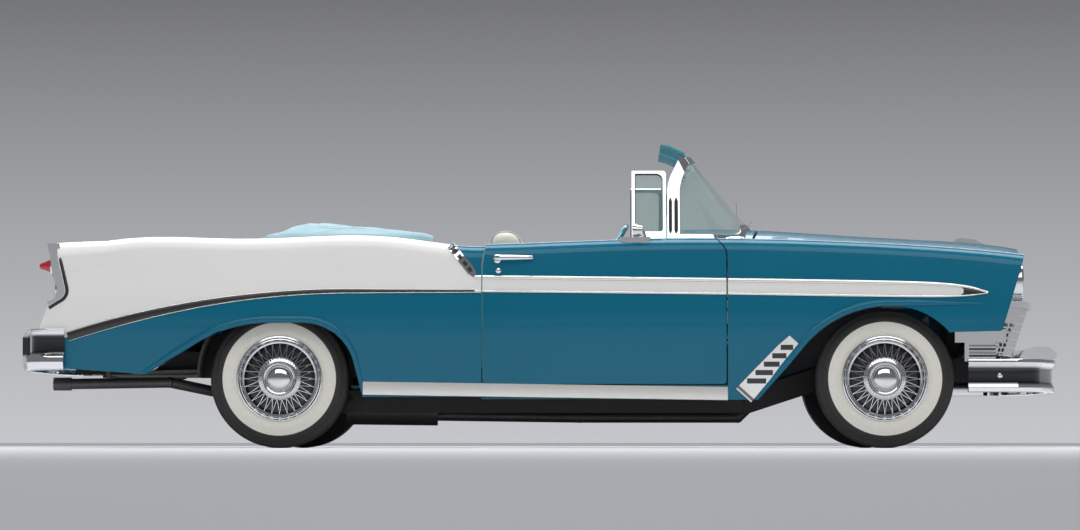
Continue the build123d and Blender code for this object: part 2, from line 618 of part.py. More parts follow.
def build_tail_lamps(quarter):
    """Bright housings in the fins' notches and their red bullet glasses."""
    outline = [(-2316, 988), (-2262, 760), (-2266, 712), (-2362, 690), (-2371, 706), (-2330, 722), (-2322, 775),
               (-2342, 830), (-2356, 925), (-2371, 988)]
    rounds = [0, 0, 0, 2, 3, 12, 20, 30, 30, 4]
    housing = side_slab(outline, rounds, TAIL_LAMP_Y - 62, TAIL_LAMP_Y + 62) - quarter
    glass = Cone(40, 17, 56).fuse(Pos(0, 0, 26) * Sphere(18))
    bullet = Pos(-2372, TAIL_LAMP_Y, TAIL_LAMP_Z) * Rot(0, -90, 0) * glass
    housing -= bullet
    return Compound(children=[housing, mirrored(housing)]), Compound(children=[bullet, mirrored(bullet)])


# Windscreen: plan outlines at its foot and head, and the side posts' rear edge
SCREEN_LOW_Z, SCREEN_HIGH_Z, SCREEN_HEADER, SCREEN_CROWN = 960, 1450, 32, 44
SCREEN_LOW, SCREEN_LOW_ROUNDS = [(560, 790), (1010, 716), (1225, 0)], [0, 250, 1500]
SCREEN_HIGH, SCREEN_HIGH_ROUNDS = [(600, 655), (690, 636), (770, 0)], [0, 45, 2200]
POST_X, POST_BEND_Z, POST_LEAN, POST_WIDTH = 628, 1290, 78, 60

# Vent window, in the plane of the side glass
VENT_Y, VENT_FOOT_Z, VENT_TILT = 818, 985, 20
VENT_REAR_X, VENT_FRONT_X, VENT_TALL, VENT_RAIL, VENT_FOOT_RAIL = 455, 621, 382, 15, 62
VENT_FRAME_HALF = 9


def screen_solid(grow):
    """Solid inside the wrap-round windscreen's surface, grown outwards by some distance."""
    faces = []
    for half, rounds, z in (
        (SCREEN_LOW, SCREEN_LOW_ROUNDS, SCREEN_LOW_Z),
        (SCREEN_HIGH, SCREEN_HIGH_ROUNDS, SCREEN_HIGH_Z),
    ):
        *flank, (tip, _) = [(x, y + grow) for x, y in half]
        points = [(x, y, z) for x, y in flank] + [(tip + grow, 0, z)] + [(x, -y, z) for x, y in reversed(flank)]
        faces.append(flat_face(points, rounds + rounds[-2::-1]))
    return loft(faces, ruled=True)


def screen_room(inset, drop):
    """Everything ahead of the posts' rear edge, set forward, and under the crowned header, let down."""
    foot, head = POST_X + inset, POST_X + inset + POST_LEAN
    ahead = side_slab(
        [(foot, SCREEN_LOW_Z), (foot, POST_BEND_Z), (head, SCREEN_HIGH_Z),
         (1400, SCREEN_HIGH_Z), (1400, SCREEN_LOW_Z)],
        [0, 220, 0, 0, 0], -OUTSIDE_ALL, OUTSIDE_ALL)
    top = SCREEN_HIGH_Z - drop
    under = front_slab(
        [(-800, 900), (-800, top - SCREEN_CROWN), (0, top + 12), (800, top - SCREEN_CROWN), (800, 900)],
        [0, 0, 3500, 0, 0], 0, 1400)
    return ahead & under


def build_windshield():
    """Frame and glass of the wrap-round windscreen."""
    body = envelope(FRONT_STATIONS, 0)
    skin = (screen_solid(8) - screen_solid(-12)) & screen_room(0, 0)
    window = screen_room(POST_WIDTH, SCREEN_HEADER) - envelope(FRONT_STATIONS, -26)
    frame = largest((skin - window) - body)
    glass = largest((screen_solid(0) - screen_solid(-5)) & window)
    return frame, glass


def vent_plane(shape):
    """Stand a shape drawn about y 0 in the plane of the left-hand side glass."""
    return Pos(0, VENT_Y, VENT_FOOT_Z) * Rot(VENT_TILT, 0, 0) * shape


def build_door_trim():
    """Vent window frame that stands in the left door, and its glass."""
    low, high = VENT_REAR_X, VENT_FRONT_X
    rail, foot = VENT_RAIL, VENT_FOOT_RAIL
    outline = [(low, 0), (high, 0), (high, VENT_TALL), (low, VENT_TALL)]
    rear, front, top = low + rail, high - rail, VENT_TALL - rail
    inner = [(rear, foot), (front, foot), (front, top), (rear, top)]
    inner_rounds = [8, 16, 34, 8]
    frame = side_slab(outline, [0, 0, 16, 4], -VENT_FRAME_HALF, VENT_FRAME_HALF)
    frame -= side_slab(inner, inner_rounds, -20, 20)
    glass = side_slab(inner, inner_rounds, -2.5, 2.5)
    return vent_plane(frame), vent_plane(glass)


def vent_seat():
    """The pocket in the door's top that the vent window's frame stands in."""
    room = 0.3
    low, high = VENT_REAR_X - room, VENT_FRONT_X + room
    wall = VENT_FRAME_HALF + room
    return vent_plane(side_slab([(low, -room), (high, -room), (high, 80), (low, 80)], [0] * 4, -wall, wall))


def build_door_mirror():
    """Round driving mirror on a stalk, seated on the right-hand door's top edge."""
    y = -858
    base = plan_slab([(398, y - 12), (398, y + 12), (545, y + 18), (545, y - 18)], [11, 11, 16, 16], 960, 1016)
    stalk = rod((522, y, 1002), (508, y, 1046), 9)
    pod = Pos(482, y, 1048) * Rot(0, -90, 0) * Cone(24, 37, 46)
    return largest(joined([base, stalk, pod]) - envelope(FRONT_STATIONS, 0))


def build_seats():
    """Front bench and rear bench."""
    back = side_slab([(-80, 470), (-262, 1040), (-240, 1066), (-110, 1066), (-90, 1045), (70, 470)],
                     [10, 30, 20, 20, 20, 30], -690, 690)
    base = side_slab([(-110, 330), (-110, 500), (410, 540), (440, 500), (420, 330)],
                     [20, 20, 40, 40, 20], -690, 690)
    legs = [block(x, x + 60, y - 30, y + 30, FLOOR_TOP, 350) for x in (-60, 320) for y in (-400, 400)]
    front = joined([back, base, *legs])
    rear = side_slab(
        [(-903, FLOOR_TOP), (-903, 970), (-780, 985), (-700, 520), (-430, 540), (-400, 500), (-420, FLOOR_TOP)],
        [0, 30, 40, 60, 40, 40, 10], -634, 634)
    tunnel_room = block(-1000, 1000, -115, 115, 200, 406)
    return front - tunnel_room, rear - tunnel_room


def build_top_boot():
    """Cover over the folded roof, in a U round the rear seat, highest in its middle."""
    profile = [(-1367, 940), (-1367, 1040), (-1250, 1048), (-1140, 1122), (-1060, 1122), (-880, 1084),
               (-560, 1047), (-509, 1024), (-500, 940)]
    cover = side_slab(profile, [0, 8, 60, 40, 120, 0, 60, 10, 0], -785, 785)
    crown = [(-785, 900), (-785, 1028), (-640, 1086), (0, 1124), (640, 1086), (785, 1028), (785, 900)]
    cover &= front_slab(crown, [0, 20, 200, 6000, 200, 20, 0], -1400, -400)
    well = plan_slab([(-880, 590), (-400, 610), (-400, -610), (-880, -590)], [70, 0, 0, 70], 900, 1200)
    return cover - well - envelope(REAR_STATIONS, -0.3)


# Steering column, from the rim to the toe board
COLUMN_TOP = (330, 370, 960)
COLUMN_FOOT = (915, 370, 610)
RIM_RADIUS_STEERING = 212


def column_plane():
    """Plane at the steering wheel, facing back along the column."""
    return Plane(origin=COLUMN_TOP, z_dir=Vector(*COLUMN_TOP) - Vector(*COLUMN_FOOT))


def build_steering():
    """Column with its spindle, and the two-spoke steering wheel."""
    plane = column_plane()
    foot = -(Vector(*COLUMN_TOP) - Vector(*COLUMN_FOOT)).length
    jacket = plane * Pos(0, 0, (foot - 130) / 2) * Cylinder(28, -foot - 10)
    jacket -= block(FIREWALL_X, 1200, 200, 500, 400, 800)
    spindle = plane * Pos(0, 0, -60) * Cylinder(11, 80)
    rim = plane * Torus(RIM_RADIUS_STEERING - 11, 11)
    hub = plane * Pos(0, 0, -22) * Cone(30, 42, 60)
    spoke = plane * Pos(0, 0, -8) * Box(2 * RIM_RADIUS_STEERING - 30, 26, 10)
    wheel = joined([rim, hub, spoke]) - plane * Pos(0, 0, -60) * Cylinder(11 + PIN_CLEARANCE, 80.6)
    return joined([jacket, spindle]), wheel


def build_engine_bay():
    """Engine as one plain block, and the radiator."""
    engine = joined([
        block(1150, 1700, -170, 170, 380, 700),
        block(1170, 1690, -260, 260, 640, 800),
        block(1250, 1600, -120, 120, 790, 880),
        block(1180, 1640, -120, 120, 300, 390),
        block(1700, 1760, -80, 80, 420, 640),
        block(1650, 1690, 130, 180, 365, 400),
        block(1650, 1690, -180, -130, 365, 400),
    ])
    radiator = joined([
        block(2010, 2070, -330, 330, 430, 880),
        block(2060, 2200, 280, 320, 430, 442),
        block(2060, 2200, -320, -280, 430, 442),
    ])
    return engine, radiator


def build_driveline():
    """Gearbox, propeller shaft, rear axle with its drums and stub shafts."""
    gearbox = rod((1160, 0, 430), (560, 0, 310), 80)
    shaft = rod((560, 0, 310), (REAR_AXLE_X + 100, 0, AXLE_Z), 38)
    carrier = Pos(REAR_AXLE_X, 0, AXLE_Z) * Sphere(135)
    tubes = rod((REAR_AXLE_X, -650, AXLE_Z), (REAR_AXLE_X, 650, AXLE_Z), 42)
    half = REAR_TRACK / 2
    stubs = rod((REAR_AXLE_X, -half - 40, AXLE_Z), (REAR_AXLE_X, half + 40, AXLE_Z), 22)
    drums = [rod((REAR_AXLE_X, s * 660, AXLE_Z), (REAR_AXLE_X, s * 715, AXLE_Z), 140) for s in (-1, 1)]
    return joined([gearbox, shaft, carrier, tubes, stubs, *drums])


KINGPIN_Y = 655


def build_suspension():
    """Front arms with kingpins and coil towers, rear leaf springs."""
    pieces = []
    for side in (-1, 1):
        for z, inner_z in ((215, 300), (455, 415)):
            ball = (FRONT_AXLE_X, side * KINGPIN_Y, z)
            for dx in (-150, 150):
                pieces.append(beam((FRONT_AXLE_X + dx, side * 430, inner_z), ball, 30, 24))
            pieces.append(Pos(*ball) * Cylinder(24, 24))
        pieces.append(Pos(FRONT_AXLE_X, side * KINGPIN_Y, 335) * Cylinder(12, 240))
    front = joined(pieces)
    springs = []
    for side in (-1, 1):
        leaf = side_slab(
            [(-945, 300), (-1247, 394), (-1980, 374), (-1980, 360), (-1247, 378), (-945, 284)],
            [0] * 6, side * 600 - 30, side * 600 + 30)
        pad = block(REAR_AXLE_X - 40, REAR_AXLE_X + 40, side * 600 - 25, side * 600 + 25, 365, 384)
        springs.append(leaf.fuse(pad))
    return front, springs


def build_knuckle():
    """Front stub axle on its kingpin, with drum and steering arm."""
    post = Pos(FRONT_AXLE_X, KINGPIN_Y, 335) * Cylinder(24, 190)
    drum = rod((FRONT_AXLE_X, 692, AXLE_Z), (FRONT_AXLE_X, 715, AXLE_Z), 132)
    spindle = rod((FRONT_AXLE_X, 655, AXLE_Z), (FRONT_AXLE_X, FRONT_TRACK / 2 + 40, AXLE_Z), 22)
    arm = beam((FRONT_AXLE_X, 640, AXLE_Z), (FRONT_AXLE_X - 150, 612, AXLE_Z), 26, 20)
    knuckle = joined([post, drum, spindle, arm])
    return knuckle - Pos(FRONT_AXLE_X, KINGPIN_Y, 335) * Cylinder(12 + PIN_CLEARANCE, 300)


def turned(points, rounds, x, y, z):
    """A ring turned about the wheel's axis from (radius, offset) points."""
    face = flat_face([(r, 0, w) for r, w in points], rounds)
    ring = revolve(face, Axis.Z, 360)
    return Pos(x, y, z) * Rot(-90, 0, 0) * ring


def build_wheel(x, y):
    """Left-hand tyre and wheel whose middle plane is at y; offsets run outwards."""
    half = TYRE_WIDTH / 2
    tyre = turned(
        [(RIM_RADIUS, -62), (230, -half), (290, -half), (TYRE_RADIUS, -58),
         (TYRE_RADIUS, 58), (290, half), (230, half), (RIM_RADIUS, 62)],
        [0, 30, 60, 22, 22, 60, 30, 0], x, y, AXLE_Z)
    wheel = turned(
        [(RIM_RADIUS, -61), (206, -66), (206, -72), (188, -72), (182, -50), (166, -20),
         (166, 20), (60, 12), (22.3, 8), (22.3, 52), (66, 52), (96, 40),
         (150, 46), (176, 62), (188, 76), (206, 72), (206, 66), (RIM_RADIUS, 61)],
        [0, 0, 2, 2, 10, 10, 6, 0, 0, 0, 10, 30, 30, 10, 4, 2, 0, 0], x, y, AXLE_Z)
    return tyre, wheel


def pipe_run(points, radius):
    """A bent pipe: straight rods from point to point with a ball at each bend."""
    rods = [rod(a, b, radius) for a, b in zip(points, points[1:])]
    return joined(rods + [Pos(*point) * Sphere(radius + 1) for point in points[1:-1]])


def build_exhaust():
    """Down pipe, silencer and tail pipe on the right."""
    pipe = pipe_run([(1160, -300, 320), (980, -300, 150), (200, -330, 150), (-530, -360, 160)], 26)
    silencer = rod((-500, -360, 190), (-950, -380, 195), 80)
    front_hanger = block(190, 210, -345, -315, 150, FLOOR_Z)
    rear_hanger = block(-2110, -2090, -625, -600, 315, TRUNK_FLOOR_Z + 66)
    tail_pipe = pipe_run([(-920, -380, 195), (-1300, -390, 215), (-1800, -600, 320), (-2290, -620, 312)], 26)
    tip = rod((-2280, -620, 312), (-2366, -620, 312), 32)
    bore = rod((-2296, -620, 312), (-2400, -620, 312), 27)
    return joined([pipe, silencer, tail_pipe, tip, front_hanger, rear_hanger]) - bore


def build_wheelhouses(quarter):
    """Inner arches over the rear wheels."""
    ring = rod((REAR_AXLE_X, 640, AXLE_Z + 20), (REAR_AXLE_X, 880, AXLE_Z + 20), 392)
    ring -= rod((REAR_AXLE_X, 652, AXLE_Z + 20), (REAR_AXLE_X, 900, AXLE_Z + 20), 380)
    ring -= block(-1700, -800, 500, 1000, -100, 340)
    ring -= block(REAR_AXLE_X - 60, REAR_AXLE_X + 60, 600, 660, 300, 430)
    return ring - quarter


def build_tank():
    """Fuel tank under the boot floor."""
    return block(-2150, -1700, -380, 380, 360, TRUNK_FLOOR_Z + 66)


def build_visors(header):
    """Two sun visors turned up above the windscreen rail, each on two stems."""
    plate = [(712, 1432), (640, 1466), (596, 1478), (600, 1486), (645, 1476), (718, 1442)]
    visor = side_slab(plate, [0] * 6, 60, 560)
    for y, reach, z in ((120, 772, 1430), (500, 742, 1405)):
        visor += rod((708, y, 1438), (reach, y, z), 5)
    visor = largest(visor - header)
    return Compound(children=[visor, mirrored(visor)])


def build_hood_ornament():
    """Bright spear on the bonnet's nose with a swept wing at its back."""
    outline = [(2120, 990), (2088, 1040), (2108, 1054), (2172, 1046), (2240, 1018), (2372, 988), (2372, 950),
               (2200, 950)]
    spear = side_slab(outline, [0, 6, 8, 30, 60, 6, 0, 0], -13, 13)
    half = [(2190, 12), (2088, 92), (2078, 90), (2112, 12)]
    wing = plan_slab(half + [(x, -y) for x, y in reversed(half)], [0, 6, 4, 0, 0, 4, 6, 0], 1036, 1045)
    return spear.fuse(wing) - envelope(FRONT_STATIONS, 0)


def main():
    """Build and store every node."""
    front = envelope(FRONT_STATIONS)
    rear = envelope(REAR_STATIONS)
    frame = build_frame()
    quarter = build_quarter(rear)
    fender = build_fender(front)
    write_pair("fender", fender)
    write_pair("door", build_door(front))
    write_pair("quarter", quarter)
    write("hood", build_hood(front))
    write("trunk_lid", build_trunk_lid(rear))
    write("frame", frame)
    write("floor_pan", build_floor(front))
    write("cowl", build_cowl(front))
    write("dashboard", build_dashboard())
    write("rear_deck", build_rear_deck(rear))
    rear_bumper = build_rear_bumper() - frame - quarter - mirrored(quarter)
    write("rear_bumper", rear_bumper)
    write("front_bumper", build_front_bumper() - frame)
    write("tail_panel", build_tail_panel() - rear_bumper)
    nose_panel = build_nose_panel()
    write("nose_panel", nose_panel)
    write("grille", build_grille() - nose_panel - fender - mirrored(fender))
    rims, lenses = build_headlamps()
    write("headlamp_rims", rims)
    write("headlamp_lenses", lenses)
    housings, bullets = build_tail_lamps(quarter)
    write("tail_lamp_housings", housings)
    write("tail_lamp_lenses", bullets)
    screen_frame, glass = build_windshield()
    write("windshield_frame", screen_frame)
    write("windshield_glass", glass)
    write("sun_visors", build_visors(screen_frame))
    trim, vent = build_door_trim()
    write_pair("vent_frame", trim)
    write_pair("vent_glass", vent)
    write("door_mirror", build_door_mirror())
    front_seat, rear_seat = build_seats()
    write("front_seat", front_seat)
    write("rear_seat", rear_seat)
    write("top_boot", build_top_boot())
    column, steering_wheel = build_steering()
    write("steering_column", column)
    write("steering_wheel", steering_wheel)
    engine, radiator = build_engine_bay()
    write("engine", engine)
    write("radiator", radiator)
    driveline = build_driveline() - engine
    write("driveline", driveline)
    arms, springs = build_suspension()
    write("front_suspension", arms - frame)
    write("rear_springs", Compound(children=[largest(leaf - driveline - frame) for leaf in springs]))
    write_pair("knuckle", build_knuckle())
    for name, x, track in (("front", FRONT_AXLE_X, FRONT_TRACK), ("rear", REAR_AXLE_X, REAR_TRACK)):
        tyre, wheel = build_wheel(x, track / 2)
        write_pair(f"tyre_{name}", tyre - wheel)
        write_pair(f"wheel_{name}", wheel)
    write("exhaust", build_exhaust())
    house = build_wheelhouses(quarter)
    write("wheelhouses", Compound(children=[house, mirrored(house)]))
    write("fuel_tank", build_tank())
    write("hood_ornament", build_hood_ornament())


main()
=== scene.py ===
"""Looks of a full-size 1950s two-door convertible: paint, brightwork, wheels, cabin, top cover and studio.

Everything is in metres in the car's own frame: +X to the nose, +Y to the car's left, +Z up, floor at z 0.
"""

import logging
from dataclasses import dataclass, field
from enum import Enum
from math import cos, pi, radians, sin
from typing import Iterable, Optional, Sequence, Union

import bpy
import numpy as np
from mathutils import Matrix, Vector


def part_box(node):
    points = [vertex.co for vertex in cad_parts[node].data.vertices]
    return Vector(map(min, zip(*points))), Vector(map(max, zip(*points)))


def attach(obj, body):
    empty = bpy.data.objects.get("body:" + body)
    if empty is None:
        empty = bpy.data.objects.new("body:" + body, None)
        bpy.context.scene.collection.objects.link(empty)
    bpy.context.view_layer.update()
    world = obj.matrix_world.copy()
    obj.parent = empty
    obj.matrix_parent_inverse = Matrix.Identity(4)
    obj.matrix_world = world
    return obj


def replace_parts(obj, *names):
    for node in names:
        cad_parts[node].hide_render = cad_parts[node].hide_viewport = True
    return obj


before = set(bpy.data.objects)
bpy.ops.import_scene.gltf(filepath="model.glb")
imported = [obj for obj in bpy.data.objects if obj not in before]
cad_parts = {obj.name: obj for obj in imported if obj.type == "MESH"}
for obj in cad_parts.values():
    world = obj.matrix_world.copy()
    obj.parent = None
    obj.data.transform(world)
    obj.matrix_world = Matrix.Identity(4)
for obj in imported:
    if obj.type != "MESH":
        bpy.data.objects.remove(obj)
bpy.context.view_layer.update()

LOG = logging.getLogger("convertible")
Colour = tuple[float, float, float]
Number = Union[int, float]
Measure = Union[float, np.ndarray]
Point = Sequence[float]
Points = Sequence[Point]
Material = bpy.types.Material


class Side(Enum):
    """Which side of the car a piece is on."""

    LEFT = 1
    RIGHT = -1

    @property
    def word(self) -> str:
        """The side's name as the nodes spell it."""
        return self.name.lower()


class Zone(Enum):
    """How a body panel is divided between the two paints."""

    TEAL = "all teal"
    WHITE = "all white"
    FENDER = "white spear on a front wing"
    DOOR = "white band on a door"
    QUARTER = "white above the sweep on a rear wing"


# Shader graphs


class Value:
    """A socket that can be used in Python arithmetic; each operation adds a Math node."""

    def __init__(self, graph: "Graph", socket: bpy.types.NodeSocket) -> None:
        """Wrap a socket of a graph."""
        self.graph = graph
        self.socket = socket

    def _math(self, operation: str, *others: Union["Value", Number]) -> "Value":
        """Add a Math node.

        Args:
            operation: The node's operation.
            others: The inputs after this one.

        Returns:
            The node's result.
        """
        values = {str(i): v for i, v in enumerate((self, *others))}
        return self.graph.node("ShaderNodeMath", {"operation": operation}, values)

    def __add__(self, other: Union["Value", Number]) -> "Value":
        """Sum."""
        return self._math("ADD", other)

    __radd__ = __add__

    def __sub__(self, other: Union["Value", Number]) -> "Value":
        """Difference."""
        return self._math("SUBTRACT", other)

    def __rsub__(self, other: Number) -> "Value":
        """Difference from a number."""
        return self._math("MULTIPLY", -1) + other

    def __mul__(self, other: Union["Value", Number]) -> "Value":
        """Product."""
        return self._math("MULTIPLY", other)

    __rmul__ = __mul__

    def absolute(self) -> "Value":
        """Size without its sign."""
        return self._math("ABSOLUTE")

    def sine(self) -> "Value":
        """Sine of an angle in radians."""
        return self._math("SINE")

    def root(self) -> "Value":
        """Square root."""
        return self._math("SQRT")

    def angle_to(self, other: "Value") -> "Value":
        """Angle of the point (other, self) about the origin."""
        return self._math("ARCTAN2", other)

    def lowest(self, other: Union["Value", Number]) -> "Value":
        """The smaller of two."""
        return self._math("MINIMUM", other)

    def highest(self, other: Union["Value", Number]) -> "Value":
        """The larger of two."""
        return self._math("MAXIMUM", other)

    def step(self, low: Number, high: Number) -> "Value":
        """Rise from 0 at low to 1 at high, held at those ends; low above high gives a fall."""
        slope = 1.0 / (high - low)
        return ((self - low) * slope).highest(0.0).lowest(1.0)


Feed = Union[Value, Number, Sequence[float]]


def opaque(colour: Feed) -> Feed:
    """A colour of three numbers with full opacity as its fourth; anything else as it is."""
    return (*colour, 1.0) if isinstance(colour, tuple) and len(colour) == 3 else colour


def toned(colour: Colour, share: float) -> Colour:
    """A colour with each of its parts multiplied by a share."""
    return tuple(part * share for part in colour)


class Graph:
    """The node tree of a material, or of the world, and the nodes that are added to it."""

    def __init__(self, name: str, owner: Union[Material, bpy.types.World, None] = None) -> None:
        """Start an empty tree.

        Args:
            name: The name of the material.
            owner: What the tree belongs to; a new material if left out.
        """
        self.material = owner or bpy.data.materials.new(name)
        self.material.use_nodes = True
        self.tree = self.material.node_tree
        self.tree.nodes.clear()

    def node(self, kind: str, settings: dict, inputs: dict[str, Feed], output: Union[int, str] = 0) -> Value:
        """Add one node.

        Args:
            kind: The node's type.
            settings: Attributes set first.
            inputs: Socket values or links, by name or by index written as text.
            output: Which output is handed back.

        Returns:
            That output, or the first input of a node that has none.
        """
        made = self.tree.nodes.new(kind)
        for key, setting in settings.items():
            setattr(made, key, setting)
        for key, feed in inputs.items():
            socket = made.inputs[int(key) if key.isdigit() else key]
            if isinstance(feed, Value):
                self.tree.links.new(feed.socket, socket)
            else:
                socket.default_value = feed
        return Value(self, made.outputs[output] if made.outputs else made.inputs[0])

    def place(self) -> tuple[Value, Value, Value]:
        """Where the shaded point is.

        Returns:
            Its x, y and z in the car's frame.
        """
        where = self.node("ShaderNodeTexCoord", {}, {}, "Object")
        parts = self.node("ShaderNodeSeparateXYZ", {}, {"Vector": where}).socket.node.outputs
        return tuple(Value(self, parts[i]) for i in range(3))

    def noise(self, scale: float, detail: float = 3.0) -> Value:
        """Soft noise between 0 and 1 on Object coordinates."""
        where = self.node("ShaderNodeTexCoord", {}, {}, "Object")
        return self.node("ShaderNodeTexNoise", {}, {"Vector": where, "Scale": scale, "Detail": detail}, "Fac")

    def mix(self, share: Feed, first: Feed, second: Feed) -> Value:
        """Colour between two, by share."""
        feeds = {"Factor": share, "6": opaque(first), "7": opaque(second)}
        return self.node("ShaderNodeMix", {"data_type": "RGBA"}, feeds, 2)

    def bump(self, height: Value, distance: float) -> Value:
        """A normal from a height in units of distance, in metres."""
        return self.node("ShaderNodeBump", {}, {"Height": height, "Distance": distance, "Strength": 1.0})

    def surface(self, colour: Feed, roughness: Feed, metallic: Feed = 0.0, **more: Feed) -> Material:
        """Finish the material with a principled surface.

        Args:
            colour: Base colour.
            roughness: Roughness.
            metallic: Metallic share.
            more: Further sockets, with underscores for the spaces in their names.

        Returns:
            The finished material.
        """
        feeds: dict[str, Feed] = {"Base Color": opaque(colour), "Roughness": roughness, "Metallic": metallic}
        feeds.update({key.replace("_", " "): feed for key, feed in more.items()})
        shader = self.node("ShaderNodeBsdfPrincipled", {}, feeds)
        self.node("ShaderNodeOutputMaterial", {}, {"Surface": shader})
        return self.material


def curve_value(at: Value, points: Sequence[tuple[float, float]]) -> Value:
    """A line through points as shader maths: a sum of clipped ramps, one for each run between two points.

    Args:
        at: The distance along.
        points: Pairs of distance and height.

    Returns:
        The line's height there.
    """
    total: Union[Value, float] = points[0][1]
    for (x0, z0), (x1, z1) in zip(points, points[1:]):
        total = at.step(x0, x1) * (z1 - z0) + total
    return total


# Mesh surfaces

PER_MICROMETRE = 1e6


@dataclass
class Surface:
    """Points with four-sided and three-sided faces, worked out as whole arrays."""

    points: np.ndarray
    quads: np.ndarray
    tris: np.ndarray = field(default_factory=lambda: np.zeros((0, 3), int))

    @classmethod
    def grid(cls, points: np.ndarray, wrap_u: bool = False, wrap_v: bool = False) -> "Surface":
        """Faces between the neighbours of a grid.

        Args:
            points: The grid, (rows, columns, 3).
            wrap_u: Join the last row to the first.
            wrap_v: Join the last column to the first.

        Returns:
            The surface.
        """
        rows, columns = points.shape[:2]
        index = np.arange(rows * columns).reshape(rows, columns)
        if wrap_u:
            index = np.concatenate([index, index[:1]], 0)
        if wrap_v:
            index = np.concatenate([index, index[:, :1]], 1)
        quads = np.stack([index[:-1, :-1], index[1:, :-1], index[1:, 1:], index[:-1, 1:]], -1).reshape(-1, 4)
        return cls(points.reshape(-1, 3), quads)

    @classmethod
    def sweep(cls, rings: np.ndarray) -> "Surface":
        """A closed bar through rings, with a fan from the middle of each end ring.

        Args:
            rings: The rings, (stations, points round a ring, 3).

        Returns:
            The bar, facing outwards.
        """
        bar = cls.grid(rings, wrap_v=True)
        stations, around = rings.shape[:2]
        middles = np.stack([rings[0].mean(0), rings[-1].mean(0)])
        count = stations * around
        first = np.arange(around)
        last = first + (stations - 1) * around
        start = np.stack([np.full(around, count), first, np.roll(first, -1)], -1)
        end = np.stack([np.full(around, count + 1), np.roll(last, -1), last], -1)
        return cls(np.concatenate([bar.points, middles]), bar.quads, np.concatenate([start, end])).outward()

    @classmethod
    def lathe(cls, profile: np.ndarray, centre: Point, segments: int, out: float = 1.0) -> "Surface":
        """A profile turned about a line along Y; where it ends at radius 0 it closes to a pole.

        Args:
            profile: Points as (radius, offset).
            centre: The point that the line runs through.
            segments: Steps round the line.
            out: The sign of the offsets.

        Returns:
            The turned surface.
        """
        turn = np.linspace(0.0, 2.0 * pi, segments, endpoint=False)[:, None]
        radius, offset = profile[None, :, 0], profile[None, :, 1]
        ring = np.stack([radius * np.cos(turn), out * offset + 0.0 * turn, radius * np.sin(turn)], -1)
        return cls.grid(ring + np.asarray(centre), wrap_u=True)

    @classmethod
    def joined(cls, surfaces: Iterable["Surface"]) -> "Surface":
        """Several surfaces as one.

        Args:
            surfaces: The surfaces.

        Returns:
            Their points and faces together.
        """
        held = list(surfaces)
        starts = np.cumsum([0] + [len(s.points) for s in held])[:-1]
        return cls(
            np.concatenate([s.points for s in held]),
            np.concatenate([s.quads + n for s, n in zip(held, starts)]),
            np.concatenate([s.tris + n for s, n in zip(held, starts)]),
        )

    @classmethod
    def spun(cls, profile: Points, centre: Point, axis: Point, segments: int) -> "Surface":
        """A profile turned about any line, with its heights along that line.

        Args:
            profile: Points as (radius, height).
            centre: The point that the line runs through.
            axis: The line's direction.
            segments: Steps round the line.

        Returns:
            The turned surface, facing outwards.
        """
        line = np.asarray(profile, float)
        along = np.asarray(axis, float) / np.linalg.norm(axis)
        guide = np.array([0.0, 0.0, 1.0]) if abs(along[2]) < 0.9 else np.array([1.0, 0.0, 0.0])
        first = np.cross(guide, along)
        first /= np.linalg.norm(first)
        second = np.cross(along, first)
        turn = np.linspace(0.0, 2.0 * pi, segments, endpoint=False)[:, None, None]
        ring = line[None, :, :1] * (np.cos(turn) * first + np.sin(turn) * second) + line[None, :, 1:] * along
        return cls.grid(ring + np.asarray(centre), wrap_u=True).outward()

    def welded(self) -> "Surface":
        """Join the points that are closer than a micrometre.

        Returns:
            The surface, in which a quad that closes up has become a triangle.
        """
        keys = np.round(self.points * PER_MICROMETRE).astype(np.int64)
        _, first, back = np.unique(keys, axis=0, return_index=True, return_inverse=True)
        back = back.reshape(-1)
        quads, tris = back[self.quads], back[self.tris]
        same = quads == np.roll(quads, -1, axis=1)
        closed = same.sum(1)
        folded = [quads[(closed == 1) & same[:, i]][:, [j for j in range(4) if j != i]] for i in range(4)]
        tris = np.concatenate([tris, *folded])
        whole = (tris[:, 0] != tris[:, 1]) & (tris[:, 1] != tris[:, 2]) & (tris[:, 0] != tris[:, 2])
        return Surface(self.points[first], quads[closed == 0], tris[whole])

    def moved(self, turns: np.ndarray, shift: np.ndarray) -> "Surface":
        """Turned and shifted copies as one surface.

        Args:
            turns: Turning matrices, (copies, 3, 3).
            shift: Shifts, (copies, 3).

        Returns:
            All the copies.
        """
        points = np.einsum("cij,pj->cpi", turns, self.points) + shift[:, None, :]
        step = (np.arange(len(turns)) * len(self.points))[:, None, None]
        quads = (self.quads[None] + step).reshape(-1, 4)
        tris = (self.tris[None] + step).reshape(-1, 3)
        return Surface(points.reshape(-1, 3), quads, tris)

    def flipped(self) -> "Surface":
        """The same surface facing the other way."""
        return Surface(self.points, self.quads[:, ::-1], self.tris[:, ::-1])

    def outward(self) -> "Surface":
        """Turn a closed surface's faces outwards, by the sign of the volume that they enclose.

        Returns:
            The surface itself, or its flipped form.
        """
        corners = np.concatenate([self.quads[:, :3], self.quads[:, [0, 2, 3]], self.tris])
        a, b, c = (self.points[corners[:, i]] for i in range(3))
        volume = np.einsum("ij,ij->i", a - a.mean(0), np.cross(b - a, c - a)).sum()
        return self if volume >= 0 else self.flipped()

    def on_side(self, side: Side) -> "Surface":
        """Take a surface that is made for the left to one side.

        Args:
            side: The side.

        Returns:
            The surface itself, or its mirror image for the right.
        """
        if side is Side.LEFT:
            return self
        return Surface(self.points * np.array([1.0, -1.0, 1.0]), self.quads, self.tris).flipped()

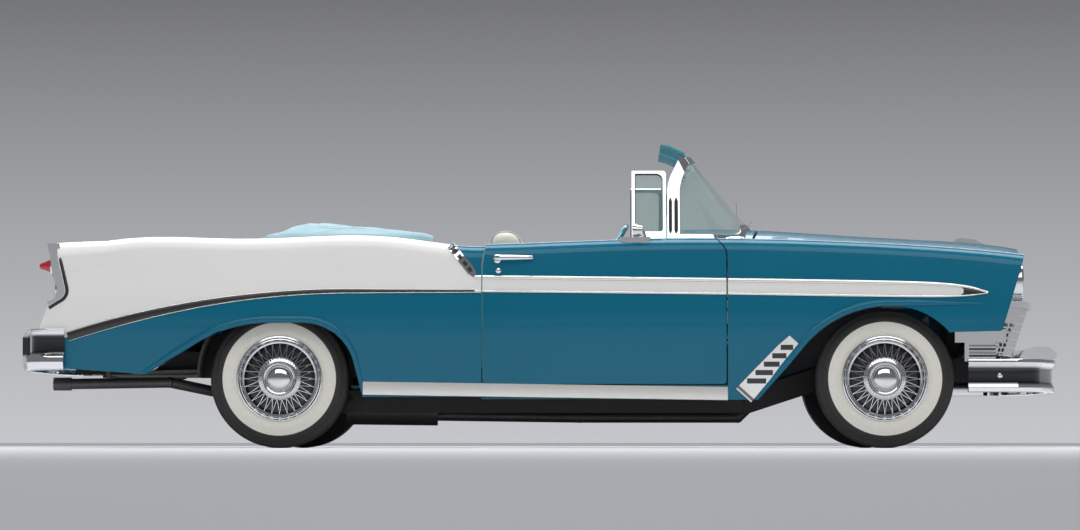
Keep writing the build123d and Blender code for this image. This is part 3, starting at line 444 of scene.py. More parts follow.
    def as_object(self, name: str, material: Material, sharp: float = 40.0) -> bpy.types.Object:
        """Put the surface into the scene.

        Args:
            name: The piece's name.
            material: Its finish.
            sharp: Edges that turn by more than this many degrees stay crisp.

        Returns:
            The new object, at the origin.
        """
        mesh = bpy.data.meshes.new(name)
        held = self.welded()
        mesh.from_pydata(held.points.tolist(), [], held.quads.tolist() + held.tris.tolist())
        mesh.polygons.foreach_set("use_smooth", np.ones(len(mesh.polygons), bool))
        mesh.set_sharp_from_angle(angle=radians(sharp))
        mesh.materials.append(material)
        made = bpy.data.objects.new(name, mesh)
        bpy.context.scene.collection.objects.link(made)
        return made


def piece(surface: Surface, name: str, body: str, material: Material) -> bpy.types.Object:
    """Make a piece that rides on a body.

    Args:
        surface: Its shape.
        name: Its name.
        body: The body it moves with.
        material: Its finish.

    Returns:
        The piece.
    """
    made = surface.as_object(name, material)
    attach(made, body)
    LOG.info("%s on %s: %d faces", name, body, len(made.data.polygons))
    return made


def both_sides(shape: Surface, name: str, body: str, material: Material) -> list[bpy.types.Object]:
    """Put a left-hand shape on both sides of the car.

    Args:
        shape: The shape as made for the left.
        name: Its name, to which the side's word is added.
        body: The body it moves with; {side} in it stands for the side's word.
        material: Its finish.

    Returns:
        The left and the right piece.
    """
    return [
        piece(shape.on_side(side), f"{name}_{side.word}", body.format(side=side.word), material)
        for side in Side
    ]


def smooth_line(points: Points, count: int) -> np.ndarray:
    """A Catmull-Rom curve through points, by the usual cubic blend of four neighbours.

    Args:
        points: The points.
        count: How many samples.

    Returns:
        The curve, at even steps of its length.
    """
    knots = np.asarray(points, float)
    ends = np.concatenate([[2 * knots[0] - knots[1]], knots, [2 * knots[-1] - knots[-2]]])
    fine = np.linspace(0.0, len(knots) - 1.0, 40 * len(knots))
    index = np.minimum(fine.astype(int), len(knots) - 2)
    t = (fine - index)[:, None]
    p0, p1, p2, p3 = (ends[index + i] for i in range(4))
    square = (2 * p0 - 5 * p1 + 4 * p2 - p3) * t**2
    cube = (3 * p1 - p0 - 3 * p2 + p3) * t**3
    return even_line(0.5 * (2 * p1 + (p2 - p0) * t + square + cube), count)


def even_line(line: np.ndarray, count: int) -> np.ndarray:
    """The same polyline at even steps of its length.

    Args:
        line: The polyline's points.
        count: How many samples.

    Returns:
        The samples.
    """
    run = np.concatenate([[0.0], np.cumsum(np.linalg.norm(np.diff(line, axis=0), axis=1))])
    at = np.linspace(0.0, run[-1], count)
    return np.stack([np.interp(at, run, line[:, i]) for i in range(line.shape[1])], -1)


def rounded_line(points: Points, rounds: Sequence[float], count: int) -> np.ndarray:
    """An open run of straight lines whose inner corners are arcs.

    Args:
        points: The run's ends and corners.
        rounds: The radius at each corner.
        count: How many samples.

    Returns:
        The run, at even steps of its length.
    """
    knots = np.asarray(points, float)
    line = [knots[0]]
    for before, corner, after, radius in zip(knots, knots[1:], knots[2:], rounds):
        into, away = (before - corner), (after - corner)
        into, away = into / np.linalg.norm(into), away / np.linalg.norm(away)
        half = 0.5 * np.arccos(np.clip(into @ away, -1.0, 1.0))
        bisector = (into + away) / np.linalg.norm(into + away)
        middle = corner + bisector * radius / np.sin(half)
        spread = np.linspace(-1.0, 1.0, 17)[:, None] * (pi / 2 - half)
        across = (away - into) / np.linalg.norm(away - into)
        line.extend(middle + radius * (np.sin(spread) * across - np.cos(spread) * bisector))
    line.append(knots[-1])
    return even_line(np.asarray(line), count)


def rounded_loop(points: Points, rounds: Sequence[float], count: int) -> np.ndarray:
    """A closed run of straight lines with arcs at its corners.

    Args:
        points: The corners.
        rounds: The radius at each corner.
        count: How many samples.

    Returns:
        The run, at even steps of its length, without its first point again at the end.
    """
    knots = np.asarray(points, float)
    start = (knots[0] + knots[-1]) / 2
    return rounded_line([start, *knots, start], rounds, count + 1)[:-1]


@dataclass(frozen=True)
class Cushion:
    """A stuffed form: a rounded side-view outline carried across the car.

    Each ring is the outline moved along its own normals by a swell that is fullest in the middle of every
    face and of the width, less a groove at each sewn seam on the chosen face and the rounding of the ends.
    """

    outline: Sequence[tuple[float, float]]
    rounds: Sequence[float]
    half: float
    swell: float = 0.012
    end_round: float = 0.035
    seams: int = 0
    groove: float = 0.0
    face: tuple[float, float] = (1.0, 0.0)
    middle: float = 0.0
    corner_reach: float = 0.05
    seam_fade: float = 0.05
    end_crowding: float = 0.15

    def loop(self, count: int = 84) -> tuple[np.ndarray, np.ndarray]:
        """The outline in side view.

        Args:
            count: How many samples.

        Returns:
            Its points and their outward normals.
        """
        line = rounded_loop(self.outline, self.rounds, count)
        run = np.roll(line, -1, 0) - np.roll(line, 1, 0)
        normal = np.stack([run[:, 1], -run[:, 0]], -1) / np.linalg.norm(run, axis=1, keepdims=True)
        area = np.sum(line[:, 0] * np.roll(line[:, 1], -1) - np.roll(line[:, 0], -1) * line[:, 1])
        return line, normal * np.sign(area)

    def surface(self, across: int = 260) -> Surface:
        """Carry the outline across the car.

        Args:
            across: How many rings.

        Returns:
            The closed cushion.
        """
        line, normal = self.loop()
        corners = np.asarray(self.outline, float)
        reach = np.linalg.norm(line[:, None] - corners[None], axis=2).min(1)
        full = reach / (reach + self.corner_reach)
        even, crowded = np.linspace(-1.0, 1.0, across), np.sin(np.linspace(-pi / 2, pi / 2, across))
        place = crowded * self.end_crowding + even * (1.0 - self.end_crowding)
        y = place * self.half
        end = np.clip((np.abs(y) - self.half + self.end_round) / self.end_round, 0.0, 1.0)
        inset = self.end_round * (1.0 - np.sqrt(1.0 - end**2))
        puff = self.swell * (1.0 - place**4)[:, None] * full[None]
        toward = np.clip(normal @ np.asarray(self.face), 0.0, 1.0) ** 0.5
        if self.seams:
            step = 2.0 * self.half / (self.seams + 1)
            away = (y + self.half + step / 2) % step - step / 2
            inner = np.clip((self.half - np.abs(y)) / self.seam_fade - 0.6, 0.0, 1.0)
            cut = self.groove * (1.0 - np.abs(np.cos(pi * away / step - pi / 2)) ** 0.5) * inner
            puff = puff - cut[:, None] * (toward * full)[None]
        lift = puff - inset[:, None]
        flat = line[None] + normal[None] * lift[..., None]
        wide = np.broadcast_to(y[:, None], flat.shape[:2]) + self.middle
        return Surface.sweep(np.stack([flat[..., 0], wide, flat[..., 1]], -1))

    def piping(self, radius: float = 0.0042) -> Surface:
        """Welt cords round the outline near both ends.

        Args:
            radius: A cord's radius.

        Returns:
            Both cords.
        """
        line, normal = self.loop(120)
        ring = line - normal * (self.end_round * 0.10)
        ring = np.concatenate([ring, ring[:2]])
        cords = []
        for sign in (-1.0, 1.0):
            y = np.full((len(ring), 1), self.middle + sign * (self.half - self.end_round * 0.55))
            cords.append(tube(np.concatenate([ring[:, :1], y, ring[:, 1:]], 1), radius, 8, up=(0, 1, 0)))
        return Surface.joined(cords)


def frame_along(path: np.ndarray, up: Point) -> tuple[np.ndarray, np.ndarray]:
    """Directions square to a path.

    Args:
        path: The path's points.
        up: The direction that the upward one comes as near to as it can.

    Returns:
        The sideways and the upward direction at each point.
    """
    along = np.gradient(path, axis=0)
    along /= np.linalg.norm(along, axis=1, keepdims=True)
    side = np.cross(np.broadcast_to(np.asarray(up, float), along.shape), along)
    side /= np.linalg.norm(side, axis=1, keepdims=True)
    return side, np.cross(along, side)


def tube(path: np.ndarray, radius: Measure, around: int = 10, up: Point = (0, 0, 1),
         flat: float = 1.0) -> Surface:
    """A round bar along a path, with closed ends: a circle carried square to the path.

    Args:
        path: The path's points.
        radius: The bar's radius, one value or one for each point.
        around: Points round the bar.
        up: The direction in which the bar may be flattened.
        flat: The share of the radius in that direction.

    Returns:
        The bar.
    """
    side, top = frame_along(path, up)
    turn = np.linspace(0.0, 2.0 * pi, around, endpoint=False)
    size = np.broadcast_to(np.asarray(radius, float), (len(path),))[:, None, None]
    rings = path[:, None] + size * (np.cos(turn)[None, :, None] * side[:, None]
                                    + flat * np.sin(turn)[None, :, None] * top[:, None])
    return Surface.sweep(rings)


class SkinProbe:
    """Finds where the left-hand bodywork lies, from the triangles of its panels."""

    batch = 60

    def __init__(self, nodes: Sequence[str]) -> None:
        """Gather the panels' triangles.

        Args:
            nodes: The panels' CAD nodes.
        """
        held = []
        for name in nodes:
            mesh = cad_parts[name].data
            mesh.calc_loop_triangles()
            points = np.empty(len(mesh.vertices) * 3)
            mesh.vertices.foreach_get("co", points)
            corners = np.empty(len(mesh.loop_triangles) * 3, np.int32)
            mesh.loop_triangles.foreach_get("vertices", corners)
            held.append(points.reshape(-1, 3)[corners].reshape(-1, 3, 3))
        self.triangles = np.concatenate(held)

    def reach(self, first: np.ndarray, second: np.ndarray, axes: tuple[int, int], along: int) -> np.ndarray:
        """The furthest skin along one axis over points of the other two.

        Each point's barycentric weights in every triangle tell which triangles cover it, and the highest
        crossing wins. A point over a gap takes its value from its covered neighbours.

        Args:
            first: Coordinates on the first plane axis.
            second: Coordinates on the second.
            axes: The plane's axes.
            along: The axis that is measured.

        Returns:
            The skin's coordinate along that axis, shaped as the input.
        """
        shape = np.shape(first)
        u, v = np.ravel(first), np.ravel(second)
        flat = self.triangles[:, :, list(axes)]
        edges = flat[:, 1:] - flat[:, :1]
        area = edges[:, 0, 0] * edges[:, 1, 1] - edges[:, 0, 1] * edges[:, 1, 0]
        low, high = flat.min(1), flat.max(1)
        found = np.full(u.shape, -np.inf)
        for start in range(0, len(u), self.batch):
            run = slice(start, start + self.batch)
            near = (np.abs(area) > 1e-12) & (low[:, 0] <= u[run].max()) & (high[:, 0] >= u[run].min())
            near &= (low[:, 1] <= v[run].max()) & (high[:, 1] >= v[run].min())
            if not near.any():
                continue
            e, size, tall = edges[near], area[near], self.triangles[near][:, :, along]
            du, dv = u[run, None] - flat[near, 0, 0], v[run, None] - flat[near, 0, 1]
            s = (du * e[:, 1, 1] - dv * e[:, 1, 0]) / size
            t = (dv * e[:, 0, 0] - du * e[:, 0, 1]) / size
            inside = (s >= -1e-6) & (t >= -1e-6) & (s + t <= 1.0 + 1e-6)
            height = tall[:, 0] + s * (tall[:, 1] - tall[:, 0]) + t * (tall[:, 2] - tall[:, 0])
            found[run] = np.where(inside, height, -np.inf).max(1)
        good = np.isfinite(found)
        places = np.arange(len(found))
        found = np.interp(places, places[good], found[good])
        return found.reshape(shape)

    def side(self, x: np.ndarray, z: np.ndarray) -> np.ndarray:
        """Half width of the skin at (x, z)."""
        return self.reach(x, z, (0, 2), 1)

    def top(self, x: np.ndarray, y: np.ndarray) -> np.ndarray:
        """Height of the skin at (x, y)."""
        return self.reach(x, y, (0, 1), 2)


def half_round(points: int = 9, sink: float = -0.0015) -> np.ndarray:
    """Section of a moulding: half an ellipse over a sunk foot.

    Args:
        points: Points along the ellipse.
        sink: How far the foot goes below the skin.

    Returns:
        Points as (across from -1 to 1, height from 0 to 1).
    """
    turn = np.linspace(pi, 0.0, points)
    top = np.stack([np.cos(turn), np.sin(turn)], -1)
    return np.concatenate([top, [[0.8, sink], [-0.8, sink]]])


def flat_section(shoulder: float = 0.95, foot: float = 0.9, sink: float = -0.002) -> np.ndarray:
    """Section of a flat plate with bevelled edges, as half_round gives it.

    Args:
        shoulder: Half width of the face.
        foot: Half width of the sunk foot.
        sink: How far the foot goes below the skin.

    Returns:
        The section's points.
    """
    return np.array([[-1.0, 0.0], [-shoulder, 1.0], [shoulder, 1.0], [1.0, 0.0], [foot, sink], [-foot, sink]])


def ribbon(probe: Union[SkinProbe, "CappedProbe"], path: np.ndarray, width: Measure, height: Measure,
           section: Optional[np.ndarray] = None) -> Surface:
    """A moulding seated on the car's left flank.

    The section's across values run square to the path in side view, and its heights stand off the skin there.

    Args:
        probe: Finds the skin.
        path: (stations, 2) points in side view, x and z.
        width: Half width, one value or one for each station.
        height: Height over the skin, likewise.
        section: Closed section; a half round if left out. Negative heights are metres below the skin.

    Returns:
        The closed moulding.
    """
    shape = half_round() if section is None else section
    along = np.gradient(path, axis=0)
    along /= np.linalg.norm(along, axis=1, keepdims=True)
    across = np.stack([-along[:, 1], along[:, 0]], -1)
    wide = np.broadcast_to(np.asarray(width, float), (len(path),))[:, None, None]
    tall = np.broadcast_to(np.asarray(height, float), (len(path),))[:, None]
    flat = path[:, None] + wide * shape[None, :, :1] * across[:, None]
    lift = np.where(shape[None, :, 1] >= 0, shape[None, :, 1] * tall, shape[None, :, 1])
    out = probe.side(flat[..., 0], flat[..., 1]) + lift
    return Surface.sweep(np.stack([flat[..., 0], out, flat[..., 1]], -1))


# Side-view lines shared by paint and brightwork, as (x, z) points

UPPER_LINE = [
    (-0.275, 0.822), (0.30, 0.815), (0.90, 0.807), (1.50, 0.798), (1.85, 0.790), (2.05, 0.776),
    (2.168, 0.747),
]
LOWER_LINE = [
    (-0.275, 0.754), (0.30, 0.748), (0.90, 0.741), (1.50, 0.732), (1.85, 0.728), (2.05, 0.731),
    (2.168, 0.745),
]
SWEEP_FLAT_X, SWEEP_FLAT_Z, SWEEP_FALL = -0.90, 0.755, 0.118
DIP_TOP, DIP_FOOT = (-0.418, 0.976), (-0.300, 0.830)
DOOR_REAR, DOOR_FRONT, FENDER_REAR = -0.263, 0.909, 0.917
INSERT_END_X = 2.052
CABIN_END = -0.930


def sweep_height(x: np.ndarray) -> np.ndarray:
    """Height of the sweep on the rear wing: level, then falling with the square of the distance back."""
    return SWEEP_FLAT_Z - SWEEP_FALL * np.maximum(SWEEP_FLAT_X - x, 0.0) ** 2


# Finishes


@dataclass(frozen=True)
class Paint:
    """Gloss body paint in one or two colours under clear lacquer."""

    teal: Colour = (0.0006, 0.108, 0.178)
    white: Colour = (0.70, 0.69, 0.66)
    cabin: Colour = (0.13, 0.50, 0.55)
    edge: float = 0.0015
    coat: float = 0.5
    nose_bow: float = 60.0

    def _white_share(self, zone: Zone, x: Value, z: Value) -> Feed:
        """Where the panel is white.

        Args:
            zone: How the panel is divided.
            x: The shaded point's x.
            z: Its height.

        Returns:
            The white's share, from 0 to 1.
        """
        if zone is Zone.TEAL:
            return 0.0
        if zone is Zone.WHITE:
            return 1.0
        edge = self.edge
        lower = curve_value(x, LOWER_LINE)
        upper = curve_value(x, UPPER_LINE)
        between = (z - lower).step(-edge, edge) * (z - upper).step(edge, -edge)
        if zone is Zone.DOOR:
            return between
        if zone is Zone.FENDER:
            middle = (lower + upper) * 0.5
            nose = x + (z - middle) * (z - middle) * self.nose_bow
            return between * (nose - INSERT_END_X).step(edge, -edge)
        back = (x * -1.0 + SWEEP_FLAT_X).highest(0.0)
        over = (z - SWEEP_FLAT_Z + back * back * SWEEP_FALL).step(-edge, edge)
        lean = (DIP_TOP[0] - DIP_FOOT[0]) / (DIP_TOP[1] - DIP_FOOT[1])
        behind = (x - DIP_FOOT[0] - (z - DIP_FOOT[1]) * lean).step(edge, -edge)
        return over * behind.highest((z - upper).step(edge, -edge))

    def material(self, zone: Zone, cabin_y: float = 0.0) -> Material:
        """The paint for one zone.

        Args:
            zone: How the panel is divided.
            cabin_y: Half width inside which the panel is cabin trim; 0 for none.

        Returns:
            The material.
        """
        g = Graph(f"paint_{zone.name.lower()}")
        x, y, z = g.place()
        flow = g.noise(0.8, 2.0)
        teal = g.mix(flow.step(0.3, 0.7) * 0.35, self.teal, toned(self.teal, 1.18))
        white = g.mix(flow.step(0.3, 0.7) * 0.4, self.white, toned(self.white, 0.97))
        colour = g.mix(self._white_share(zone, x, z), teal, white)
        roughness: Feed = 0.22 + g.noise(35.0) * 0.06
        coat: Feed = self.coat
        if cabin_y:
            within = y.absolute().step(cabin_y + 0.001, cabin_y - 0.001)
            inside = within * x.step(CABIN_END - 0.002, CABIN_END)
            grain = g.noise(420.0, 2.0)
            colour = g.mix(inside, colour, g.mix(grain * 0.4, self.cabin, toned(self.cabin, 0.75)))
            roughness = roughness + inside * 0.3
            coat = inside.step(1.0, 0.0) * self.coat
        ripple = g.bump(g.noise(140.0, 1.0), 0.00002)
        return g.surface(colour, roughness, 0.0, Coat_Weight=coat, Coat_Roughness=0.03, Normal=ripple,
                         Specular_IOR_Level=0.10)


@dataclass(frozen=True)
class Bright:
    """Polished metal: chrome plate, stainless or an aluminium tone."""

    name: str
    tint: Colour
    roughness: float
    grain: float = 0.0

    def material(self) -> Material:
        """Plate with a faint orange peel and a trace of handling marks.

        Returns:
            The material.
        """
        g = Graph(self.name)
        haze = g.noise(14.0, 4.0)
        marks = g.noise(160.0, 2.0)
        roughness = haze * 0.05 + marks.step(0.55, 0.8) * 0.04 + self.roughness
        colour = g.mix(haze.step(0.35, 0.75) * 0.5, self.tint, toned(self.tint, 0.93))
        normal = g.bump(marks, 0.00003 + self.grain)
        return g.surface(colour, roughness, 1.0, Normal=normal)


@dataclass(frozen=True)
class HollowPlate:
    """Chrome whose hollow band, between two heights, is painted darker: a painted dark reflection and shade
    in the recess, not a colour of the plate.
    """

    name: str
    low: float
    high: float
    tint: Colour = (0.83, 0.84, 0.85)
    # painted dark reflection: the colour given to the hollow band
    dark: Colour = (0.060, 0.062, 0.066)
    fade: float = 0.012

    def material(self) -> Material:
        """Plate with the painted dark band faded in over a few millimetres.

        Returns:
            The material.
        """
        g = Graph(self.name)
        z = g.place()[2]
        band = z.step(self.low, self.low + self.fade) * z.step(self.high, self.high - self.fade)
        haze = g.noise(14.0, 4.0)
        # painted reflection: the hollow band is coloured dark, as if it mirrored a dark floor and lay in
        # shade
        colour = g.mix(band, self.tint, self.dark)
        return g.surface(colour, haze * 0.05 + 0.04, 1.0, Normal=g.bump(g.noise(160.0, 2.0), 0.00003))


@dataclass(frozen=True)
class Plain:
    """A coated or moulded surface with a fine texture: rubber, carpet, vinyl, black paint or cast metal."""

    name: str
    tint: Colour
    shade: Colour
    roughness: float
    scale: float
    relief: float
    metallic: float = 0.0
    coat: float = 0.0

    def material(self) -> Material:
        """Mottled colour with a grain of its own scale.

        Returns:
            The material.
        """
        g = Graph(self.name)
        grain = g.noise(self.scale, 3.0)
        broad = g.noise(6.0, 2.0)
        colour = g.mix(grain * 0.6 + broad * 0.4, self.tint, self.shade)
        roughness = grain * 0.15 + (self.roughness - 0.07)
        normal = g.bump(grain, self.relief)
        return g.surface(colour, roughness, self.metallic, Coat_Weight=self.coat, Normal=normal)


@dataclass(frozen=True)
class Glazing:
    """Sheet glass with a tint that the eye sees through."""

    name: str
    tint: Colour
    alpha: float

    def material(self) -> Material:
        """Clear gloss over a thin tint, a little denser towards the upper edge.

        Returns:
            The material.
        """
        g = Graph(self.name)
        z = g.place()[2]
        band = z.step(1.30, 1.42) * 0.12
        smear = g.noise(9.0, 2.0)
        return g.surface(self.tint, smear * 0.02 + 0.01, 0.0, Alpha=band + self.alpha, IOR=1.5)


@dataclass(frozen=True)
class LampGlass:
    """Pressed lamp glass with flutes."""

    name: str
    tint: Colour
    alpha: float
    pitch: float
    across_y: bool

    def material(self) -> Material:
        """Flutes as a sine of the distance across the lamp.

        Returns:
            The material.
        """
        g = Graph(self.name)
        _, y, z = g.place()
        wave = ((y if self.across_y else z) * (2 * pi / self.pitch)).sine() * 0.5 + 0.5
        second = (z * (2 * pi / (self.pitch * 2.6))).sine() * 0.5 + 0.5
        colour = g.mix(wave * 0.35, self.tint, tuple(min(1.0, c * 1.35 + 0.03) for c in self.tint))
        return g.surface(colour, wave * 0.06 + 0.05, 0.0, Alpha=self.alpha, Coat_Weight=1.0,
                         Normal=g.bump(wave + second * 0.5, 0.0012))


@dataclass(frozen=True)
class Rubber:
    """Tyre rubber with a white band on the outer wall, ribs and a cut tread."""

    centre: tuple[float, float, float]
    out: float
    white_from: float = 0.206
    white_to: float = 0.274
    wall_from: float = 0.030
    tread_from: float = 0.318
    rib_pitch: float = 0.022
    cuts: float = 96.0
    wall_rings: tuple[float, float] = (0.286, 0.300)
    relief: float = 0.003

    def material(self, name: str) -> Material:
        """White between two radii on the outer wall; tread grooves as waves across and round the tyre.

        Args:
            name: The material's name.

        Returns:
            The material.
        """
        g = Graph(name)
        x, y, z = g.place()
        dx, dz = x - self.centre[0], z - self.centre[2]
        radius = (dx * dx + dz * dz).root()
        offset = (y - self.centre[1]) * self.out
        wall = offset.step(self.wall_from, self.wall_from + 0.004)
        outside = radius.step(self.white_to + 0.0008, self.white_to - 0.0008)
        white = wall * (outside * radius.step(self.white_from, self.white_from + 0.001))
        dirt = g.noise(55.0, 4.0)
        black = g.mix(dirt, (0.018, 0.018, 0.018), (0.036, 0.034, 0.032))
        pale = g.mix(dirt.step(0.35, 0.9) * 0.5, (0.70, 0.67, 0.60), (0.60, 0.57, 0.50))
        colour = g.mix(white, black, pale)
        tread = radius.step(self.tread_from, self.tread_from + 0.006)
        rib = (offset * (2 * pi / self.rib_pitch)).sine().step(-0.75, -0.45)
        turn = dz.angle_to(dx)
        zigzag = ((turn * self.cuts + (offset * 260.0).sine() * 1.6).sine()).step(-0.8, -0.5)
        first, second = ((radius - ring).absolute() for ring in self.wall_rings)
        scuff = (first.step(0.0028, 0.0018) + second.step(0.0024, 0.0014)) * wall
        height = tread * rib * zigzag + (1 - tread) * scuff
        return g.surface(colour, 0.62 + white * -0.16 + dirt * 0.15, 0.0, Normal=g.bump(height, self.relief))


@dataclass(frozen=True)
class Upholstery:
    """Vinyl in up to two colours with grain and a slight sheen."""

    name: str
    tint: Colour
    shade: Colour

    def material(self) -> Material:
        """Leather-like cells from two scales of noise.

        Returns:
            The material.
        """
        g = Graph(self.name)
        cells = g.node("ShaderNodeTexVoronoi", {}, {"Scale": 520.0}, "Distance")
        fold = g.noise(18.0, 3.0)
        colour = g.mix(fold.step(0.3, 0.8) * 0.6 + cells * 0.25, self.tint, self.shade)
        normal = g.bump(cells + fold * 0.6, 0.0006)
        return g.surface(colour, cells * 0.2 + 0.38, 0.0, Normal=normal, Sheen_Weight=0.08)


class Finishes:
    """Every material of the car, made once."""

    def __init__(self) -> None:
        """Make the materials."""
        self.paint = Paint()
        self.chrome = Bright("chrome_plate", (0.74, 0.75, 0.76), 0.035).material()
        self.sill = Bright("sill_aluminium", (0.88, 0.86, 0.82), 0.34).material()
        self.stainless = Bright("stainless_trim", (0.78, 0.77, 0.74), 0.11).material()
        self.satin = Bright("satin_aluminium", (0.62, 0.61, 0.59), 0.24, 0.00004).material()
        self.mirror = Bright("silvered_glass", (0.90, 0.91, 0.92), 0.0).material()
        # bumper plates with a painted dark reflection across their hollow bands
        self.front_plate = HollowPlate("front_bumper_plate", 0.300, 0.396).material()
        self.rear_plate = HollowPlate("rear_bumper_plate", 0.448, 0.552).material()
        self.black = Plain("black_enamel", (0.012, 0.012, 0.013), (0.02, 0.02, 0.02), 0.30, 90.0, 0.0001,
                           coat=0.3).material()
        self.under = Plain("underside_black", (0.012, 0.012, 0.012), (0.03, 0.027, 0.024), 0.70, 40.0,
                           0.0006).material()
        self.iron = Plain("engine_paint", (0.10, 0.10, 0.105), (0.16, 0.155, 0.15), 0.45, 70.0,
                          0.0006).material()
        self.steel = Plain("dull_steel", (0.16, 0.155, 0.15), (0.07, 0.065, 0.06), 0.50, 60.0, 0.0005,
                           metallic=0.8).material()
        self.carpet = Plain("loop_carpet", (0.05, 0.17, 0.19), (0.02, 0.09, 0.11), 0.95, 900.0,
                            0.003).material()
        self.rubber = Plain("seal_rubber", (0.015, 0.015, 0.015), (0.03, 0.03, 0.03), 0.75, 200.0,
                            0.0002).material()
        self.dash = Plain("dash_enamel", (0.01, 0.17, 0.25), (0.015, 0.20, 0.28), 0.25, 120.0, 0.00004,
                          coat=1.0).material()
        self.rim_plastic = Plain("steering_plastic", (0.008, 0.16, 0.22), (0.015, 0.22, 0.28), 0.22, 60.0,
                                 0.00004, coat=0.8).material()
        self.seat_white = Upholstery("seat_vinyl_cream", (0.68, 0.67, 0.58), (0.58, 0.56, 0.47)).material()
        self.seat_teal = Upholstery("seat_vinyl_turquoise", (0.15, 0.55, 0.58), (0.09, 0.42, 0.46)).material()
        self.welt = Upholstery("seat_welt", (0.36, 0.35, 0.30), (0.30, 0.29, 0.25)).material()
        self.boot = Upholstery("top_cover_vinyl", (0.25, 0.41, 0.46), (0.20, 0.35, 0.40)).material()
        self.visor = Upholstery("visor_vinyl", (0.02, 0.30, 0.40), (0.015, 0.24, 0.33)).material()
        self.window = Glazing("tinted_glass", (0.26, 0.40, 0.37), 0.17).material()
        self.lamp_clear = LampGlass("headlamp_glass", (0.72, 0.76, 0.76), 0.72, 0.011, True).material()
        self.lamp_red = LampGlass("tail_lamp_red", (0.42, 0.004, 0.012), 1.0, 0.012, False).material()


def dress(node: str, material: Material, split: float = 32.0) -> None:
    """Give a CAD node its finish and smooth shading between crisp edges.

    Args:
        node: The node.
        material: Its finish.
        split: Edges that turn by more than this many degrees stay crisp.
    """
    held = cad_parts[node]
    held.data.materials.clear()
    held.data.materials.append(material)
    held.data.polygons.foreach_set("use_smooth", np.ones(len(held.data.polygons), bool))
    weld = held.modifiers.new("join_facets", "WELD")
    weld.merge_threshold = 0.00005
    crisp = held.modifiers.new("crisp_edges", "EDGE_SPLIT")
    crisp.split_angle = radians(split)
    LOG.info("%s dressed in %s", node, material.name)


# Sub-assemblies


@dataclass
class Bodywork:
    """The painted panels."""

    finishes: Finishes
    zones: dict[str, Zone] = field(default_factory=lambda: {
        "hood": Zone.TEAL, "cowl": Zone.TEAL, "nose_panel": Zone.TEAL, "trunk_lid": Zone.WHITE,
        "rear_deck": Zone.WHITE, "tail_panel": Zone.WHITE,
    })

    def build(self) -> None:
        """Dress every panel."""
        made = {zone: self.finishes.paint.material(zone) for zone in (Zone.TEAL, Zone.WHITE, Zone.FENDER)}
        for node, zone in self.zones.items():
            dress(node, made[zone])
        door = self.finishes.paint.material(Zone.DOOR, 0.7935)
        quarter = self.finishes.paint.material(Zone.QUARTER, 0.7465)
        for side in Side:
            dress(f"fender_{side.word}", made[Zone.FENDER])
            dress(f"door_{side.word}", door)
            dress(f"quarter_{side.word}", quarter)
        LOG.info("bodywork painted")


